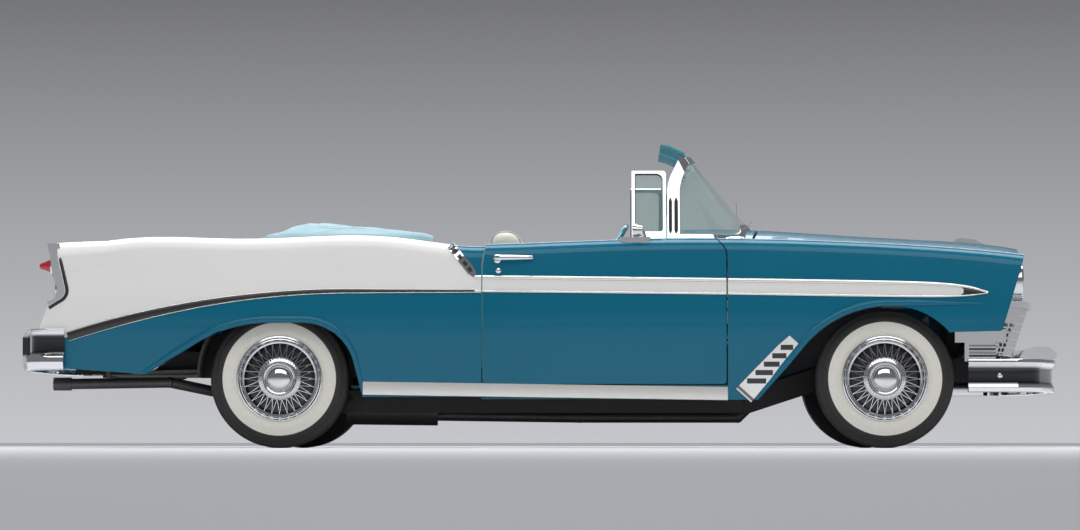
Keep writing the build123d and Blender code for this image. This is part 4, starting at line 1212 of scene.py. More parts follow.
@dataclass
class FlankTrim:
    """Mouldings, sweep, dip plate, sills, stone guards, arch lips and handles on both flanks."""

    finishes: Finishes
    probe: SkinProbe
    upper_half: float = 0.0095
    lower_half: float = 0.0065
    stand: float = 0.008
    plate: float = 0.005
    window: float = 0.0062
    sill_half: float = 0.033
    sill_stand: float = 0.007

    def build(self) -> None:
        """Make both flanks' trim."""
        self._spear()
        self._spear_tip()
        self._sweep_band()
        self._dip_plate()
        self._sill()
        self._arch_lips()
        self._stone_guard()
        self._handles()

    def _both(self, shape: Surface, name: str, material: Material, body: str = "car_body") -> None:
        """Put a left-hand shape on both flanks."""
        both_sides(shape, name, body, material)

    def _spear(self) -> None:
        """Upper and lower mouldings, cut at the door seams and tapered to the tip."""
        tip = 2.165
        panels = (
            ("quarter", -0.300, DOOR_REAR - 0.006, "car_body"),
            ("door", DOOR_REAR, DOOR_FRONT, "door_{side}"),
            ("fender", FENDER_REAR, tip, "car_body"),
        )
        kinds = (("upper", UPPER_LINE, self.upper_half), ("lower", LOWER_LINE, self.lower_half))
        for word, line, half in kinds:
            fine = smooth_line(line, 400)
            for panel, low, high, body in panels:
                at = np.linspace(low, high, 90)
                path = np.stack([at, np.interp(at, fine[:, 0], fine[:, 1])], -1)
                width = half * np.interp(at, [FENDER_REAR, 1.9, tip], [1.0, 1.0, 0.55])
                shape = ribbon(self.probe, path, width, self.stand)
                self._both(shape, f"{word}_moulding_{panel}", self.finishes.stainless, body)

    def _spear_tip(self) -> None:
        """Dark pointed plate that closes the spear ahead of the white insert."""
        upper, lower = smooth_line(UPPER_LINE, 400), smooth_line(LOWER_LINE, 400)
        at = np.linspace(INSERT_END_X - 0.004, 2.158, 24)
        top = np.interp(at, upper[:, 0], upper[:, 1])
        foot = np.interp(at, lower[:, 0], lower[:, 1])
        path = np.stack([at, (top + foot) / 2], -1)
        shape = ribbon(self.probe, path, np.maximum((top - foot) / 2 - 0.004, 0.0015), 0.003)
        self._both(shape, "spear_tip", self.finishes.black)

    def _sweep_band(self) -> None:
        """Wide moulding along the sweep on the rear wing, edged in bright metal; its black face is a painted
        dark reflection, standing in for a dark floor mirrored in the bright band.
        """
        at = np.linspace(-2.262, DOOR_REAR - 0.007, 160)
        path = np.stack([at, sweep_height(at)], -1)
        half = np.interp(at, [-2.262, -2.05, -1.4, -0.56, -0.27], [0.021, 0.021, 0.013, 0.0075, 0.0065])
        # black face: painted dark reflection on a bright moulding
        self._both(ribbon(self.probe, path, half, 0.004), "sweep_band", self.finishes.black)
        slope = np.gradient(path, axis=0)
        across = np.stack([-slope[:, 1], slope[:, 0]], -1) / np.linalg.norm(slope, axis=1, keepdims=True)
        for sign, word in ((1.0, "over"), (-1.0, "under")):
            edge = path + sign * across * half[:, None]
            shape = ribbon(self.probe, edge, 0.0028, 0.0055)
            self._both(shape, f"sweep_edge_{word}", self.finishes.stainless)

    def _dip_plate(self) -> None:
        """Slanted bright plate under the dip, with square dark windows."""
        path = np.linspace(DIP_TOP, DIP_FOOT, 40)
        flat = flat_section(0.9, 0.8, -0.0015)
        half = np.interp(np.linspace(0, 1, 40), [0, 0.85, 1], [0.020, 0.022, 0.012])
        self._both(ribbon(self.probe, path, half, self.plate, flat), "dip_plate", self.finishes.chrome)
        for i, share in enumerate((0.18, 0.39, 0.60, 0.80)):
            ends = [np.add(DIP_TOP, np.subtract(DIP_FOOT, DIP_TOP) * (share + d)) for d in (-0.065, 0.065)]
            window = ribbon(self.probe, np.linspace(*ends, 5), 0.0105, self.window, flat)
            self._both(window, f"dip_window_{i}", self.finishes.black)

    def _sill(self) -> None:
        """Bright sill moulding, tall and nearly flat, with a slanted front end."""
        at = np.linspace(-0.838, 0.915, 80)
        centre = np.interp(at, [-0.838, 0.915], [0.288, 0.262])
        flat = np.array([
            [-1.0, 0.0], [-0.94, 0.8], [-0.5, 1.0], [0.5, 1.0], [0.94, 0.8], [1.0, 0.0],
            [0.9, -0.002], [-0.9, -0.002],
        ])
        skin = self.probe.side(at, centre)
        fair = np.polyval(np.polyfit(at, skin, 3), at)
        fair += np.percentile(skin - fair, 90)
        out = fair[:, None] + np.where(flat[:, 1] >= 0, flat[:, 1] * self.sill_stand, flat[:, 1])
        height = centre[:, None] + self.sill_half * flat[:, 0]
        rings = np.stack(np.broadcast_arrays(at[:, None], out, height), -1)
        self._both(Surface.sweep(rings), "sill_moulding", self.finishes.sill)

    def _arch_lips(self) -> None:
        """Rolled lip round each wheel arch, in the panel's own teal."""
        teal = self.finishes.paint.material(Zone.TEAL)
        front = [(1.075, 0.262), (1.433, 0.696), (1.80, 0.698), (2.14, 0.694)]
        rear = [(-1.900, 0.362), (-1.484, 0.618), (-0.922, 0.618), (-0.838, 0.288)]
        for word, corners, rounds, count, sizes in (
            ("front", front, [0.545, 3.0], 120, (0.010, 0.017, 0.017, 0.004)),
            ("rear", rear, [0.69, 0.262], 140, (0.008, 0.017, 0.017, 0.008)),
        ):
            half = np.interp(np.linspace(0, 1, count), [0, 0.15, 0.75, 1], sizes)
            shape = ribbon(self.probe, rounded_line(corners, rounds, count), half, half * 0.62)
            both_sides(shape, f"arch_lip_{word}", "car_body", teal)

    def _stone_guard(self) -> None:
        """Bright guard behind the front wheel with dark louvres between slanted bars; the louvres are black
        patches, painted shade in their recesses.
        """
        low, high = np.array([0.990, 0.252]), np.array([1.232, 0.520])
        flat = flat_section()
        path = np.linspace(low, high, 60)
        half = np.interp(np.linspace(0, 1, 60), [0.0, 0.1, 0.8, 1.0], [0.050, 0.050, 0.040, 0.030])
        self._both(ribbon(self.probe, path, half, self.plate, flat), "stone_guard", self.finishes.stainless)
        for i in range(5):
            share = 0.26 + 0.15 * i
            middle = low + (high - low) * share
            reach = np.array([0.046 - 0.004 * i, 0.0])
            across = np.linspace(middle - reach, middle + reach, 8)
            # painted shade: a black patch over each louvre recess
            slot = ribbon(self.probe, across, 0.0130, self.window, flat)
            self._both(slot, f"stone_guard_slot_{i}", self.finishes.black)

    def _handles(self) -> None:
        """Door handle with its button, and the lock below it."""
        at = np.linspace(-0.205, -0.020, 40)
        height = 0.915
        stand = 0.026 * np.sqrt(np.clip(np.sin(np.linspace(0.0, pi, 40)), 0.0, 1.0)) + 0.004
        out = self.probe.side(at, np.full(40, height)) + stand
        path = np.stack([at, out, np.full(40, height)], -1)
        radius = np.interp(np.linspace(0, 1, 40), [0, 0.2, 0.5, 1], [0.016, 0.013, 0.012, 0.009])
        grip = tube(path, radius, 14, flat=0.6, up=(0, 1, 0))
        self._both(grip, "door_handle", self.finishes.chrome, "door_{side}")
        knobs = (("handle_button", -0.192, 0.905, 0.017), ("door_lock", -0.187, 0.853, 0.014))
        for name, x, z, size in knobs:
            y = float(self.probe.side(np.array([x]), np.array([z]))[0])
            radii = size * np.array([0.0, 0.6, 0.95, 1.0, 1.0])
            profile = np.stack([radii, [0.012, 0.0115, 0.008, 0.004, -0.002]], -1)
            self._both(Surface.lathe(profile, (x, y, z), 28), name, self.finishes.chrome, "door_{side}")


@dataclass
class WheelTrim:
    """One wheel: whitewall tyre and a bright cover with crossed wires, a ribbed ring and a domed cap."""

    finishes: Finishes
    axle: str
    side: Side
    pairs: int = 28
    wire: float = 0.0024
    wire_inner: float = 0.100
    wire_outer: float = 0.170
    wire_lean: float = 0.105
    layer: float = 0.005
    ribs: int = 48

    def __post_init__(self) -> None:
        """Read the wheel's place from its tyre."""
        low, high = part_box(f"tyre_{self.axle}_{self.side.word}")
        middle = (low + high) / 2
        self.centre = (middle.x, middle.y, middle.z)
        self.body = f"{self.axle}_wheel_{self.side.word}"
        self.out = float(self.side.value)

    def build(self) -> None:
        """Dress the tyre and replace the plain wheel by its cover."""
        tag = f"{self.axle}_{self.side.word}"
        dress(f"tyre_{tag}", Rubber(self.centre, self.out).material(f"tyre_rubber_{tag}"), 60.0)
        rings = self._turned(RIM_RINGS, 120)
        made = piece(rings, f"wheel_rim_{tag}", self.body, self.finishes.chrome)
        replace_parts(made, f"wheel_{tag}")
        for word, shape, finish in (
            ("dish", self._turned(DISH, 72), self.finishes.black),
            ("hub", self._turned(HUB_RINGS, 96), self.finishes.chrome),
            ("barrel", self._turned(BARREL, 72), self.finishes.under),
            ("wires", self._wires(), self.finishes.chrome),
            ("ribs", self._ribs(), self.finishes.stainless),
        ):
            piece(shape, f"wheel_{word}_{tag}", self.body, finish)

    def _turned(self, profile: Sequence[tuple[float, float]], segments: int) -> Surface:
        """A profile of (radius, offset) turned about the axle, facing outwards."""
        shape = Surface.lathe(np.asarray(profile, float), self.centre, segments, self.out)
        return shape if self.side is Side.LEFT else shape.flipped()

    def _spun(self, shape: Surface, count: int) -> Surface:
        """Copies of a shape, spun about the axle.

        Args:
            shape: The shape, made about the origin.
            count: How many copies.

        Returns:
            All the copies, in place.
        """
        turn = np.linspace(0.0, 2.0 * pi, count, endpoint=False)
        c, s, zero, one = np.cos(turn), np.sin(turn), np.zeros(count), np.ones(count)
        spin = np.stack([c, zero, -s, zero, one, zero, s, zero, c], -1).reshape(-1, 3, 3)
        return shape.moved(spin, np.broadcast_to(self.centre, (count, 3)))

    def _wires(self) -> Surface:
        """Two layers of straight wires that lean opposite ways between the inner and the outer ring.

        Returns:
            The wires with the nipples at their outer ends.
        """
        shapes = []
        near = self.wire_inner
        for lean, level in ((self.wire_lean, 0.0), (-self.wire_lean, self.layer)):
            inner = np.array([near * cos(lean), self.out * (0.064 + level), near * sin(lean)])
            outer = np.array([self.wire_outer, self.out * (0.049 + level), 0.0])
            shapes.append(tube(np.linspace(inner, outer, 3), self.wire, 6, up=(0, 1, 0)))
            nipple = np.linspace(outer + (inner - outer) * 0.14, outer, 3)
            shapes.append(tube(nipple, self.wire * 1.7, 6, up=(0, 1, 0)))
        return self._spun(Surface.joined(shapes), self.pairs)

    def _ribs(self) -> Surface:
        """Short radial ribs on the cone between the wires and the bright ring."""
        path = np.linspace((0.082, self.out * 0.072, 0.0), (0.101, self.out * 0.066, 0.0), 3)
        return self._spun(tube(path, np.array([0.0028, 0.0034, 0.0030]), 6, up=(0, 1, 0)), self.ribs)


# Wheel profiles as (radius, offset outwards from the tyre's middle)
RIM_RINGS = [
    (0.186, 0.020), (0.184, 0.046), (0.176, 0.050), (0.171, 0.046), (0.168, 0.050), (0.172, 0.057),
    (0.178, 0.058), (0.181, 0.054), (0.183, 0.060), (0.189, 0.067), (0.193, 0.066), (0.195, 0.070),
    (0.200, 0.0755), (0.206, 0.074), (0.2085, 0.070), (0.2065, 0.060), (0.197, 0.055), (0.190, 0.030),
    (0.186, 0.020),
]
DISH = [(0.186, 0.022), (0.165, 0.032), (0.130, 0.030), (0.100, 0.034), (0.080, 0.046), (0.0, 0.048)]
HUB_RINGS = [
    (0.104, 0.050), (0.104, 0.062), (0.098, 0.068), (0.083, 0.071), (0.0805, 0.076), (0.078, 0.084),
    (0.073, 0.0885), (0.068, 0.086), (0.066, 0.078), (0.063, 0.076), (0.061, 0.080), (0.056, 0.090),
    (0.046, 0.0975), (0.030, 0.103), (0.015, 0.1055), (0.0, 0.106),
]
BARREL = [
    (0.030, 0.020), (0.160, 0.018), (0.166, -0.030), (0.180, -0.050), (0.188, -0.072), (0.206, -0.072),
    (0.206, -0.066), (0.196, -0.061), (0.196, 0.055),
]


@dataclass
class Nose:
    """Grille, bumper, headlamps and bonnet brightwork."""

    finishes: Finishes
    probe: SkinProbe

    def build(self) -> None:
        """Dress and add the pieces of the front."""
        for node in ("grille", "hood_ornament", "headlamp_rims"):
            dress(node, self.finishes.chrome)
        dress("front_bumper", self.finishes.front_plate)
        dress("headlamp_lenses", self.finishes.lamp_clear)
        dress("radiator", self.finishes.under)
        self._lamp_rings()
        self._grille_slots()
        self._bolts()
        self._aerial()

    def _lamp_rings(self) -> None:
        """Rolled bright ring round each headlamp, and the dark seal inside it."""
        low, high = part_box("headlamp_rims")
        x, z = high.x, (low.z + high.z) / 2
        reach = (high.z - low.z) / 2
        y = high.y - reach
        ring = [(-0.020, -0.006), (-0.017, 0.005), (-0.009, 0.010), (-0.002, 0.006), (0.0, -0.004),
                (-0.010, -0.012), (-0.020, -0.006)]
        seal = [(-0.024, -0.004), (-0.022, 0.003), (-0.019, 0.003), (-0.018, -0.004), (-0.024, -0.004)]
        for name, section, finish in (("headlamp_ring", ring, self.finishes.chrome),
                                      ("headlamp_seal", seal, self.finishes.rubber)):
            shape = Surface.spun(np.add(section, (reach, 0.0)), (x, y, z), (1, 0, 0), 72)
            both_sides(shape, name, "car_body", finish)

    def _grille_slots(self) -> None:
        """Painted shade: dark slots in the louvred side plates and dark cells down the grille's turned-back
        ends, black patches where the openings lie in shade.
        """
        probe = SkinProbe(["grille"])
        flat, stand = flat_section(), 0.0015
        slots = [ribbon(probe, np.linspace((2.075, z), (2.215, z), 12), 0.0048, stand, flat)
                 for z in (0.443, 0.459, 0.475, 0.491)]
        for z in np.arange(0.456, 0.625, 0.0245):
            left, right = 2.240 + (z - 0.444) * 0.20, 2.272 + (z - 0.444) * 0.38
            middle = (left + right) / 2
            for start, end in ((left, middle - 0.004), (middle + 0.004, right)):
                slots.append(ribbon(probe, np.linspace((start, z), (end, z), 5), 0.0085, stand, flat))
        # black patches are painted shade for the grille's openings
        both_sides(Surface.joined(slots), "grille_slots", "car_body", self.finishes.black)

    def _bolts(self) -> None:
        """Domed bumper bolts on the hollow faces of both bumpers."""
        dome = [(0.0, 0.010), (0.006, 0.0095), (0.012, 0.006), (0.0145, 0.001), (0.0145, -0.004),
                (0.0, -0.004)]
        heads = [((2.524, y, 0.348), (1, 0, 0)) for y in (-0.30, 0.30)]
        heads += [((-2.517, y, 0.490), (-1, 0, 0)) for y in (-0.30, 0.30)]
        heads += [((2.22, 0.8885 * s, 0.348), (0, s, 0)) for s in (-1, 1)]
        domes = [Surface.spun(dome, place, axis, 24) for place, axis in heads]
        piece(Surface.joined(domes), "bumper_bolts", "car_body", self.finishes.stainless)

    def _aerial(self) -> None:
        """Long oval foot on the right wing with a short lowered mast."""
        x, y = 0.955, 0.815
        z = float(self.probe.top(np.array([x]), np.array([y]))[0])
        turn = np.linspace(0.0, pi / 2, 7)
        dome = Surface.spun(np.stack([np.cos(turn), np.sin(turn)], -1), (0, 0, 0), (0, 0, 1), 36)
        foot = Surface(dome.points * np.array([0.052, 0.022, 0.013]), dome.quads, dome.tris)
        foot = Surface(foot.points + np.array([x, -y, z - 0.002]), foot.quads, foot.tris)
        mast = tube(np.linspace((x + 0.010, -y, z), (x + 0.004, -y, z + 0.17), 6), 0.0022, 10, up=(1, 0, 0))
        piece(Surface.joined([foot, mast]), "aerial_right", "car_body", self.finishes.chrome)


# The fin's rear edge: x at a height, that height, and how far x falls back for each metre above it
FIN_EDGE = (-2.272, 0.738, 0.2513)


@dataclass(frozen=True)
class CappedProbe:
    """A probe that takes each point above a height as if at that height, for trim past the skin's top."""

    probe: SkinProbe
    cap: float

    def side(self, x: np.ndarray, z: np.ndarray) -> np.ndarray:
        """Half width of the skin at (x, z), or under it at the cap."""
        return self.probe.side(x, np.minimum(z, self.cap))


@dataclass
class Tail:
    """Rear bumper, tail lamps and boot handle."""

    finishes: Finishes
    probe: SkinProbe

    def build(self) -> None:
        """Dress the pieces of the tail and add the trim round the lamps."""
        dress("rear_bumper", self.finishes.rear_plate)
        dress("tail_lamp_housings", self.finishes.chrome)
        dress("tail_lamp_lenses", self.finishes.lamp_red)
        self._fin_crest()
        self._notch_band()
        self._lamps()
        self._boot_handle()

    def _fin_crest(self) -> None:
        """Painted crest that carries the fin's top level to the tail.

        Each ring is the fin's own skin, up its outer face and over its top, drawn upwards by what the ridge
        lacks of the level line; the draw fades to nothing a hand's breadth below the ridge.
        """
        depth, film = 0.11, 0.0008
        x = np.linspace(-2.327, -1.98, 48)[:, None]
        inward = np.linspace(0.0, 1.0, 22)[None]
        span = np.linspace(0.70, 0.87, 60)[None]
        tops = self.probe.top(*np.broadcast_arrays(x, span))
        ridge = tops.max(1, keepdims=True)
        ridge_y = np.take_along_axis(np.broadcast_to(span, tops.shape), tops.argmax(1)[:, None], 1)
        level = np.interp(x, [-2.34, -2.2, -2.05, -1.98], [0.992, 0.998, 1.003, 1.0])
        rise = np.maximum(level - ridge, 0.0) * np.clip((-1.99 - x) / 0.12, 0.0, 1.0)
        up = ridge - depth + 0.109 * np.linspace(0.0, 1.0, 26)[None]
        share = (x - x[0]) / (x[-1] - x[0])
        slant = (FIN_EDGE[0] - (up - FIN_EDGE[1]) * FIN_EDGE[2] + 0.001) * (1.0 - share) + x[-1] * share
        outer = np.stack([slant, self.probe.side(slant, up) + film, up], -1)
        over = ridge_y - (ridge_y - 0.668) * inward
        back = np.broadcast_to(x, over.shape)
        inner = np.stack([back, over, self.probe.top(back, over) + film], -1)
        rings = np.concatenate([outer, inner], 1)
        drawn = np.clip((rings[..., 2] - ridge + depth) / depth, 0.0, 1.0)
        rings[..., 2] += rise * drawn**1.3
        foot = np.stack([x[:, 0], np.full(len(x), 0.74), ridge[:, 0] - 0.09], -1)[:, None]
        shape = Surface.sweep(np.concatenate([rings, foot], 1))
        paint = self.finishes.paint.material(Zone.WHITE)
        both_sides(shape, "fin_crest", "car_body", paint)

    def _notch_band(self) -> None:
        """Dark band that follows the edge of the fin's notch."""
        path = rounded_line([(-2.3228, 0.9877), (-2.2593, 0.7328), (-2.3530, 0.6750)], [0.056], 90)
        band = ribbon(CappedProbe(self.probe, 0.945), path, 0.0085, 0.0042)
        both_sides(band, "fin_band", "car_body", self.finishes.black)

    def _lamps(self) -> None:
        """Bright ring at the foot of each red bullet, and a clear reversing lamp under it."""
        low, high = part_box("tail_lamp_lenses")
        z, reach = (low.z + high.z) / 2, (high.z - low.z) / 2
        y = high.y - reach
        ring = [(-0.004, -0.016), (0.001, 0.004), (0.005, 0.006), (0.008, 0.0), (0.008, -0.016),
                (-0.004, -0.016)]
        lens = [(0.0, 0.016), (0.012, 0.0145), (0.022, 0.009), (0.026, 0.001), (0.026, -0.012), (0.0, -0.012)]
        collar = [(0.026, -0.010), (0.027, 0.003), (0.030, 0.005), (0.033, 0.001), (0.033, -0.010),
                  (0.026, -0.010)]
        for name, section, centre, finish, slot in (
            ("tail_lamp_ring", np.add(ring, (reach, 0.0)), (-2.352, y, z), self.finishes.chrome, "chrome"),
            ("reversing_lens", lens, (-2.330, y, 0.766), self.finishes.lamp_clear, "clear_glass"),
            ("reversing_collar", collar, (-2.330, y, 0.766), self.finishes.chrome, "chrome"),
        ):
            both_sides(Surface.spun(section, centre, (-1, 0, 0), 48), name, "car_body", finish)

    def _boot_handle(self) -> None:
        """Plain bright pull with a lock boss on the boot lid's face."""
        x, z = -2.378, 0.690
        corners = [(x + 0.010, -0.07, z), (x - 0.020, -0.06, z), (x - 0.020, 0.06, z), (x + 0.010, 0.07, z)]
        grip = rounded_line(corners, [0.012, 0.012], 40)
        boss = Surface.spun([(0.0, 0.012), (0.012, 0.011), (0.016, 0.006), (0.017, -0.010), (0.0, -0.010)],
                            (x - 0.004, 0.0, z + 0.045), (-1, 0, 0), 28)
        shape = Surface.joined([tube(grip, 0.008, 12), boss])
        piece(shape, "boot_handle", "trunk_lid", self.finishes.chrome)


@dataclass
class Screen:
    """Windscreen, vent windows and what is fixed to them."""

    finishes: Finishes

    def build(self) -> None:
        """Dress the glass and its frames and add the wipers."""
        dress("windshield_frame", self.finishes.chrome)
        dress("windshield_glass", self.finishes.window)
        dress("sun_visors", self.finishes.visor)
        dress("door_mirror", self.finishes.chrome)
        for side in Side:
            dress(f"vent_frame_{side.word}", self.finishes.chrome)
            dress(f"vent_glass_{side.word}", self.finishes.window)
        self._post_flutes()
        self._mirror_face()
        self._wipers()
        self._vent_seals()

    def _post_flutes(self) -> None:
        """Two dark upright strips on each screen post: the rubber draught seal, and beside it a painted dark
        reflection and shade in the flute of the bright post.
        """
        probe = SkinProbe(["windshield_frame"])
        for i, (x, half) in enumerate(((0.643, 0.008), (0.671, 0.009))):
            path = np.linspace((x, 1.040), (x, 1.214), 30)
            taper = np.interp(np.linspace(0, 1, 30), [0, 0.08, 0.9, 1], [0.4, 1, 1, 0.3])
            strip = ribbon(probe, path, half * taper, 0.0012)
            # strip 0 is the rubber seal; strip 1 is a painted dark reflection and shade in the flute
            both_sides(strip, f"post_flute_{i}", "car_body", self.finishes.rubber)

    def _mirror_face(self) -> None:
        """Silvered face inside the driving mirror's rim."""
        low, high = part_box("door_mirror")
        reach = (high.y - low.y) / 2
        face = [(0.0, 0.0016), (reach - 0.006, 0.0012), (reach - 0.0035, -0.002), (0.0, -0.002)]
        shape = Surface.spun(face, (0.459, (low.y + high.y) / 2, high.z - reach), (-1, 0, 0), 48)
        piece(shape, "mirror_face", "door_right", self.finishes.mirror)

    def _wipers(self) -> None:
        """Two parked wipers: pivot, arm and blade in front of the glass's foot."""
        parts = []
        pivot = [(0.0, 0.012), (0.006, 0.011), (0.010, 0.004), (0.011, -0.010), (0.0, -0.010)]
        taper = np.interp(np.linspace(0, 1, 30), [0, 0.3, 1], [0.0055, 0.003, 0.0024])
        for start, end in ((0.29, 0.02), (-0.02, -0.29)):
            route = [(1.066, start, 1.076), (1.064, start - 0.01, 1.096), (1.056, (start + end) / 2, 1.108),
                     (1.050, end, 1.112)]
            arm = smooth_line(route, 30)
            blade = arm[12:] + np.array([-0.003, 0.0, 0.007])
            parts += [tube(arm, taper, 10), tube(blade, 0.0026, 8),
                      Surface.spun(pivot, (1.066, start, 1.078), (0.2, 0, 1), 24)]
        piece(Surface.joined(parts), "wipers", "car_body", self.finishes.stainless)

    def _vent_seals(self) -> None:
        """Dark rubber round each vent glass: the frame's inner outline, on the side glass's leaning plane."""
        foot_y, foot_z, lean, stand = 0.818, 0.985, radians(20.0), 0.0045
        loop = rounded_loop([(0.470, 0.062), (0.606, 0.062), (0.606, 0.367), (0.470, 0.367)],
                            [0.008, 0.016, 0.034, 0.008], 120)
        loop = np.concatenate([loop, loop[:2]])
        for off, word in ((stand, "outer"), (-stand, "inner")):
            y = foot_y - loop[:, 1] * sin(lean) + off * cos(lean)
            z = foot_z + loop[:, 1] * cos(lean) + off * sin(lean)
            seal = tube(np.stack([loop[:, 0], y, z], -1), 0.0032, 8, up=(0, 1, 0))
            both_sides(seal, f"vent_seal_{word}", "door_{side}", self.finishes.rubber)


# Seats as (x, z) outlines
FRONT_BACK = [(-0.078, 0.48), (-0.254, 1.056), (-0.096, 1.056), (0.056, 0.50)]
FRONT_BASE = [(-0.090, 0.345), (-0.090, 0.492), (0.400, 0.530), (0.428, 0.490), (0.410, 0.345)]
FRONT_BACK_PAD = [(-0.094, 0.955), (-0.076, 0.955), (0.036, 0.565), (0.018, 0.560)]
FRONT_BASE_PAD = [(0.080, 0.496), (0.080, 0.513), (0.380, 0.535), (0.384, 0.518)]
REAR_BACK = [(-0.893, 0.50), (-0.893, 0.955), (-0.796, 0.972), (-0.705, 0.50)]
REAR_BASE = [
    (-0.880, 0.315), (-0.880, 0.500), (-0.690, 0.512), (-0.432, 0.530), (-0.410, 0.496), (-0.428, 0.315),
]
REAR_BACK_PAD = [(-0.806, 0.905), (-0.790, 0.908), (-0.722, 0.570), (-0.738, 0.566)]
REAR_BASE_PAD = [(-0.660, 0.498), (-0.660, 0.516), (-0.462, 0.530), (-0.458, 0.512)]


@dataclass
class Cabin:
    """Seats, dashboard, steering, door trim and floor."""

    finishes: Finishes
    front_half: float = 0.685
    rear_half: float = 0.628
    pleats: int = 13

    def build(self) -> None:
        """Dress the cabin and add its seats and fittings."""
        dress("dashboard", self.finishes.dash)
        dress("steering_wheel", self.finishes.rim_plastic)
        dress("steering_column", self.finishes.rim_plastic)
        dress("floor_pan", self.finishes.carpet)
        self._seats()
        self._horn_ring()
        self._dials()
        self._door_fittings()

    def _pad(self, form: Cushion, name: str, finish: Material) -> bpy.types.Object:
        """Args:
            form: The cushion.
            name: Its name.
            finish: Its cover.

        Returns:
            The piece.
        """
        made = piece(form.surface(), name, "car_body", finish)
        return made

    def _seats(self) -> None:
        """Cream benches with pleated turquoise inserts and welts."""
        cream, blue = self.finishes.seat_white, self.finishes.seat_teal
        front, rear = self.front_half, self.rear_half
        back = Cushion(FRONT_BACK, [0.03, 0.062, 0.072, 0.05], front, 0.008, 0.05)
        base = Cushion(FRONT_BASE, [0.03, 0.03, 0.045, 0.045, 0.03], front, 0.010, 0.05)
        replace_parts(self._pad(back, "front_seat_back", cream), "front_seat")
        self._pad(base, "front_seat_base", cream)
        rear_back = Cushion(REAR_BACK, [0.02, 0.04, 0.045, 0.03], rear, 0.008, 0.05)
        rear_base = Cushion(REAR_BASE, [0.02, 0.02, 0.06, 0.045, 0.045, 0.03], rear, 0.008, 0.05)
        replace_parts(self._pad(rear_back, "rear_seat_back", cream), "rear_seat")
        self._pad(rear_base, "rear_seat_base", cream)
        for outline, name, half, face in (
            (FRONT_BACK_PAD, "front_back_insert", 0.60, (1.0, 0.25)),
            (FRONT_BASE_PAD, "front_base_insert", 0.60, (0.0, 1.0)),
            (REAR_BACK_PAD, "rear_back_insert", 0.54, (1.0, 0.2)),
            (REAR_BASE_PAD, "rear_base_insert", 0.54, (0.0, 1.0)),
        ):
            insert = Cushion(outline, [0.007] * 4, half, 0.010, 0.012, self.pleats, 0.010, face)
            self._pad(insert, name, blue)
        forms = {"front_back": back, "front_base": base, "rear_back": rear_back, "rear_base": rear_base}
        for name, form in forms.items():
            piece(form.piping(), f"{name}_piping", "car_body", self.finishes.welt)

    def _horn_ring(self) -> None:
        """Bright half ring and cap on the steering wheel."""
        axis = np.array([-0.858140, 0.0, 0.513416])
        centre = np.array([0.33, 0.37, 0.96])
        across, up = np.array([0.0, 1.0, 0.0]), np.cross(axis, [0.0, 1.0, 0.0])
        turn = np.linspace(0.02, pi - 0.02, 50)[:, None]
        ring = centre + axis * 0.006 - 0.135 * (np.cos(turn) * across + np.sin(turn) * up * np.sign(-up[2]))
        cap = [(0.0, 0.034), (0.012, 0.033), (0.026, 0.026), (0.032, 0.014), (0.033, 0.004), (0.0, 0.004)]
        shape = Surface.joined([tube(ring, 0.0042, 10, up=tuple(axis)), Surface.spun(cap, centre, axis, 40)])
        piece(shape, "horn_ring", "steering_wheel", self.finishes.chrome)

    def _dials(self) -> None:
        """Instrument fan before the driver, its twin before the passenger, knobs and a bright strip."""
        chrome = self.finishes.chrome
        lean = np.array([-0.9954, 0.0, 0.0958])
        bezel = [(0.086, -0.006), (0.088, 0.010), (0.094, 0.014), (0.100, 0.008), (0.102, -0.006),
                 (0.086, -0.006)]
        face = [(0.0, 0.004), (0.087, 0.004), (0.087, -0.004), (0.0, -0.004)]
        knob = [(0.0, 0.024), (0.009, 0.023), (0.012, 0.018), (0.012, 0.004), (0.017, 0.0), (0.0, -0.004)]
        dials = ((0.37, "driver", self.finishes.black), (-0.37, "passenger", self.finishes.satin))
        for y, word, finish in dials:
            centre = (0.7045, y, 0.945)
            piece(Surface.spun(bezel, centre, lean, 64), f"dial_bezel_{word}", "car_body", chrome)
            piece(Surface.spun(face, centre, lean, 64), f"dial_face_{word}", "car_body", finish)
        knobs = [Surface.spun(knob, (0.699, y, 0.888), lean, 24) for y in (-0.10, -0.03, 0.04, 0.11, 0.18)]
        strip = tube(np.linspace((0.6975, -0.70, 0.868), (0.6975, 0.70, 0.868), 20), 0.006, 10)
        hand = tube(np.linspace((0.699, 0.37, 0.945), (0.7045, 0.425, 0.985), 4), 0.0018, 6)
        piece(Surface.joined([*knobs, strip, hand]), "dash_brightwork", "car_body", chrome)

    def _door_fittings(self) -> None:
        """Armrest, window winder and a bright strip on the inner face of each door."""
        outline = [(0.02, 0.640), (0.02, 0.690), (0.36, 0.700), (0.36, 0.660)]
        rest = Cushion(outline, [0.02] * 4, 0.026, 0.002, 0.014, middle=0.768)
        boss = [(0.0, 0.020), (0.010, 0.019), (0.016, 0.012), (0.020, 0.0), (0.020, -0.004), (0.0, -0.004)]
        centre = np.array([0.48, 0.791, 0.700])
        crank = tube(np.linspace(centre + [0, -0.016, 0], centre + [0.085, -0.022, -0.03], 6), 0.005, 10)
        grip = Surface.spun([(0.0, 0.034), (0.008, 0.032), (0.009, 0.008), (0.006, 0.0), (0.0, 0.0)],
                            centre + [0.085, -0.020, -0.03], (0, -1, 0), 20)
        strip = tube(np.linspace((-0.20, 0.7905, 0.830), (0.80, 0.7905, 0.830), 30), 0.005, 10)
        bright = Surface.joined([Surface.spun(boss, centre, (0, -1, 0), 32), crank, grip, strip])
        cover = self.finishes.seat_white
        for made in both_sides(rest.surface(60), "armrest", "door_{side}", cover):
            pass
        both_sides(bright, "door_fittings", "door_{side}", self.finishes.chrome)


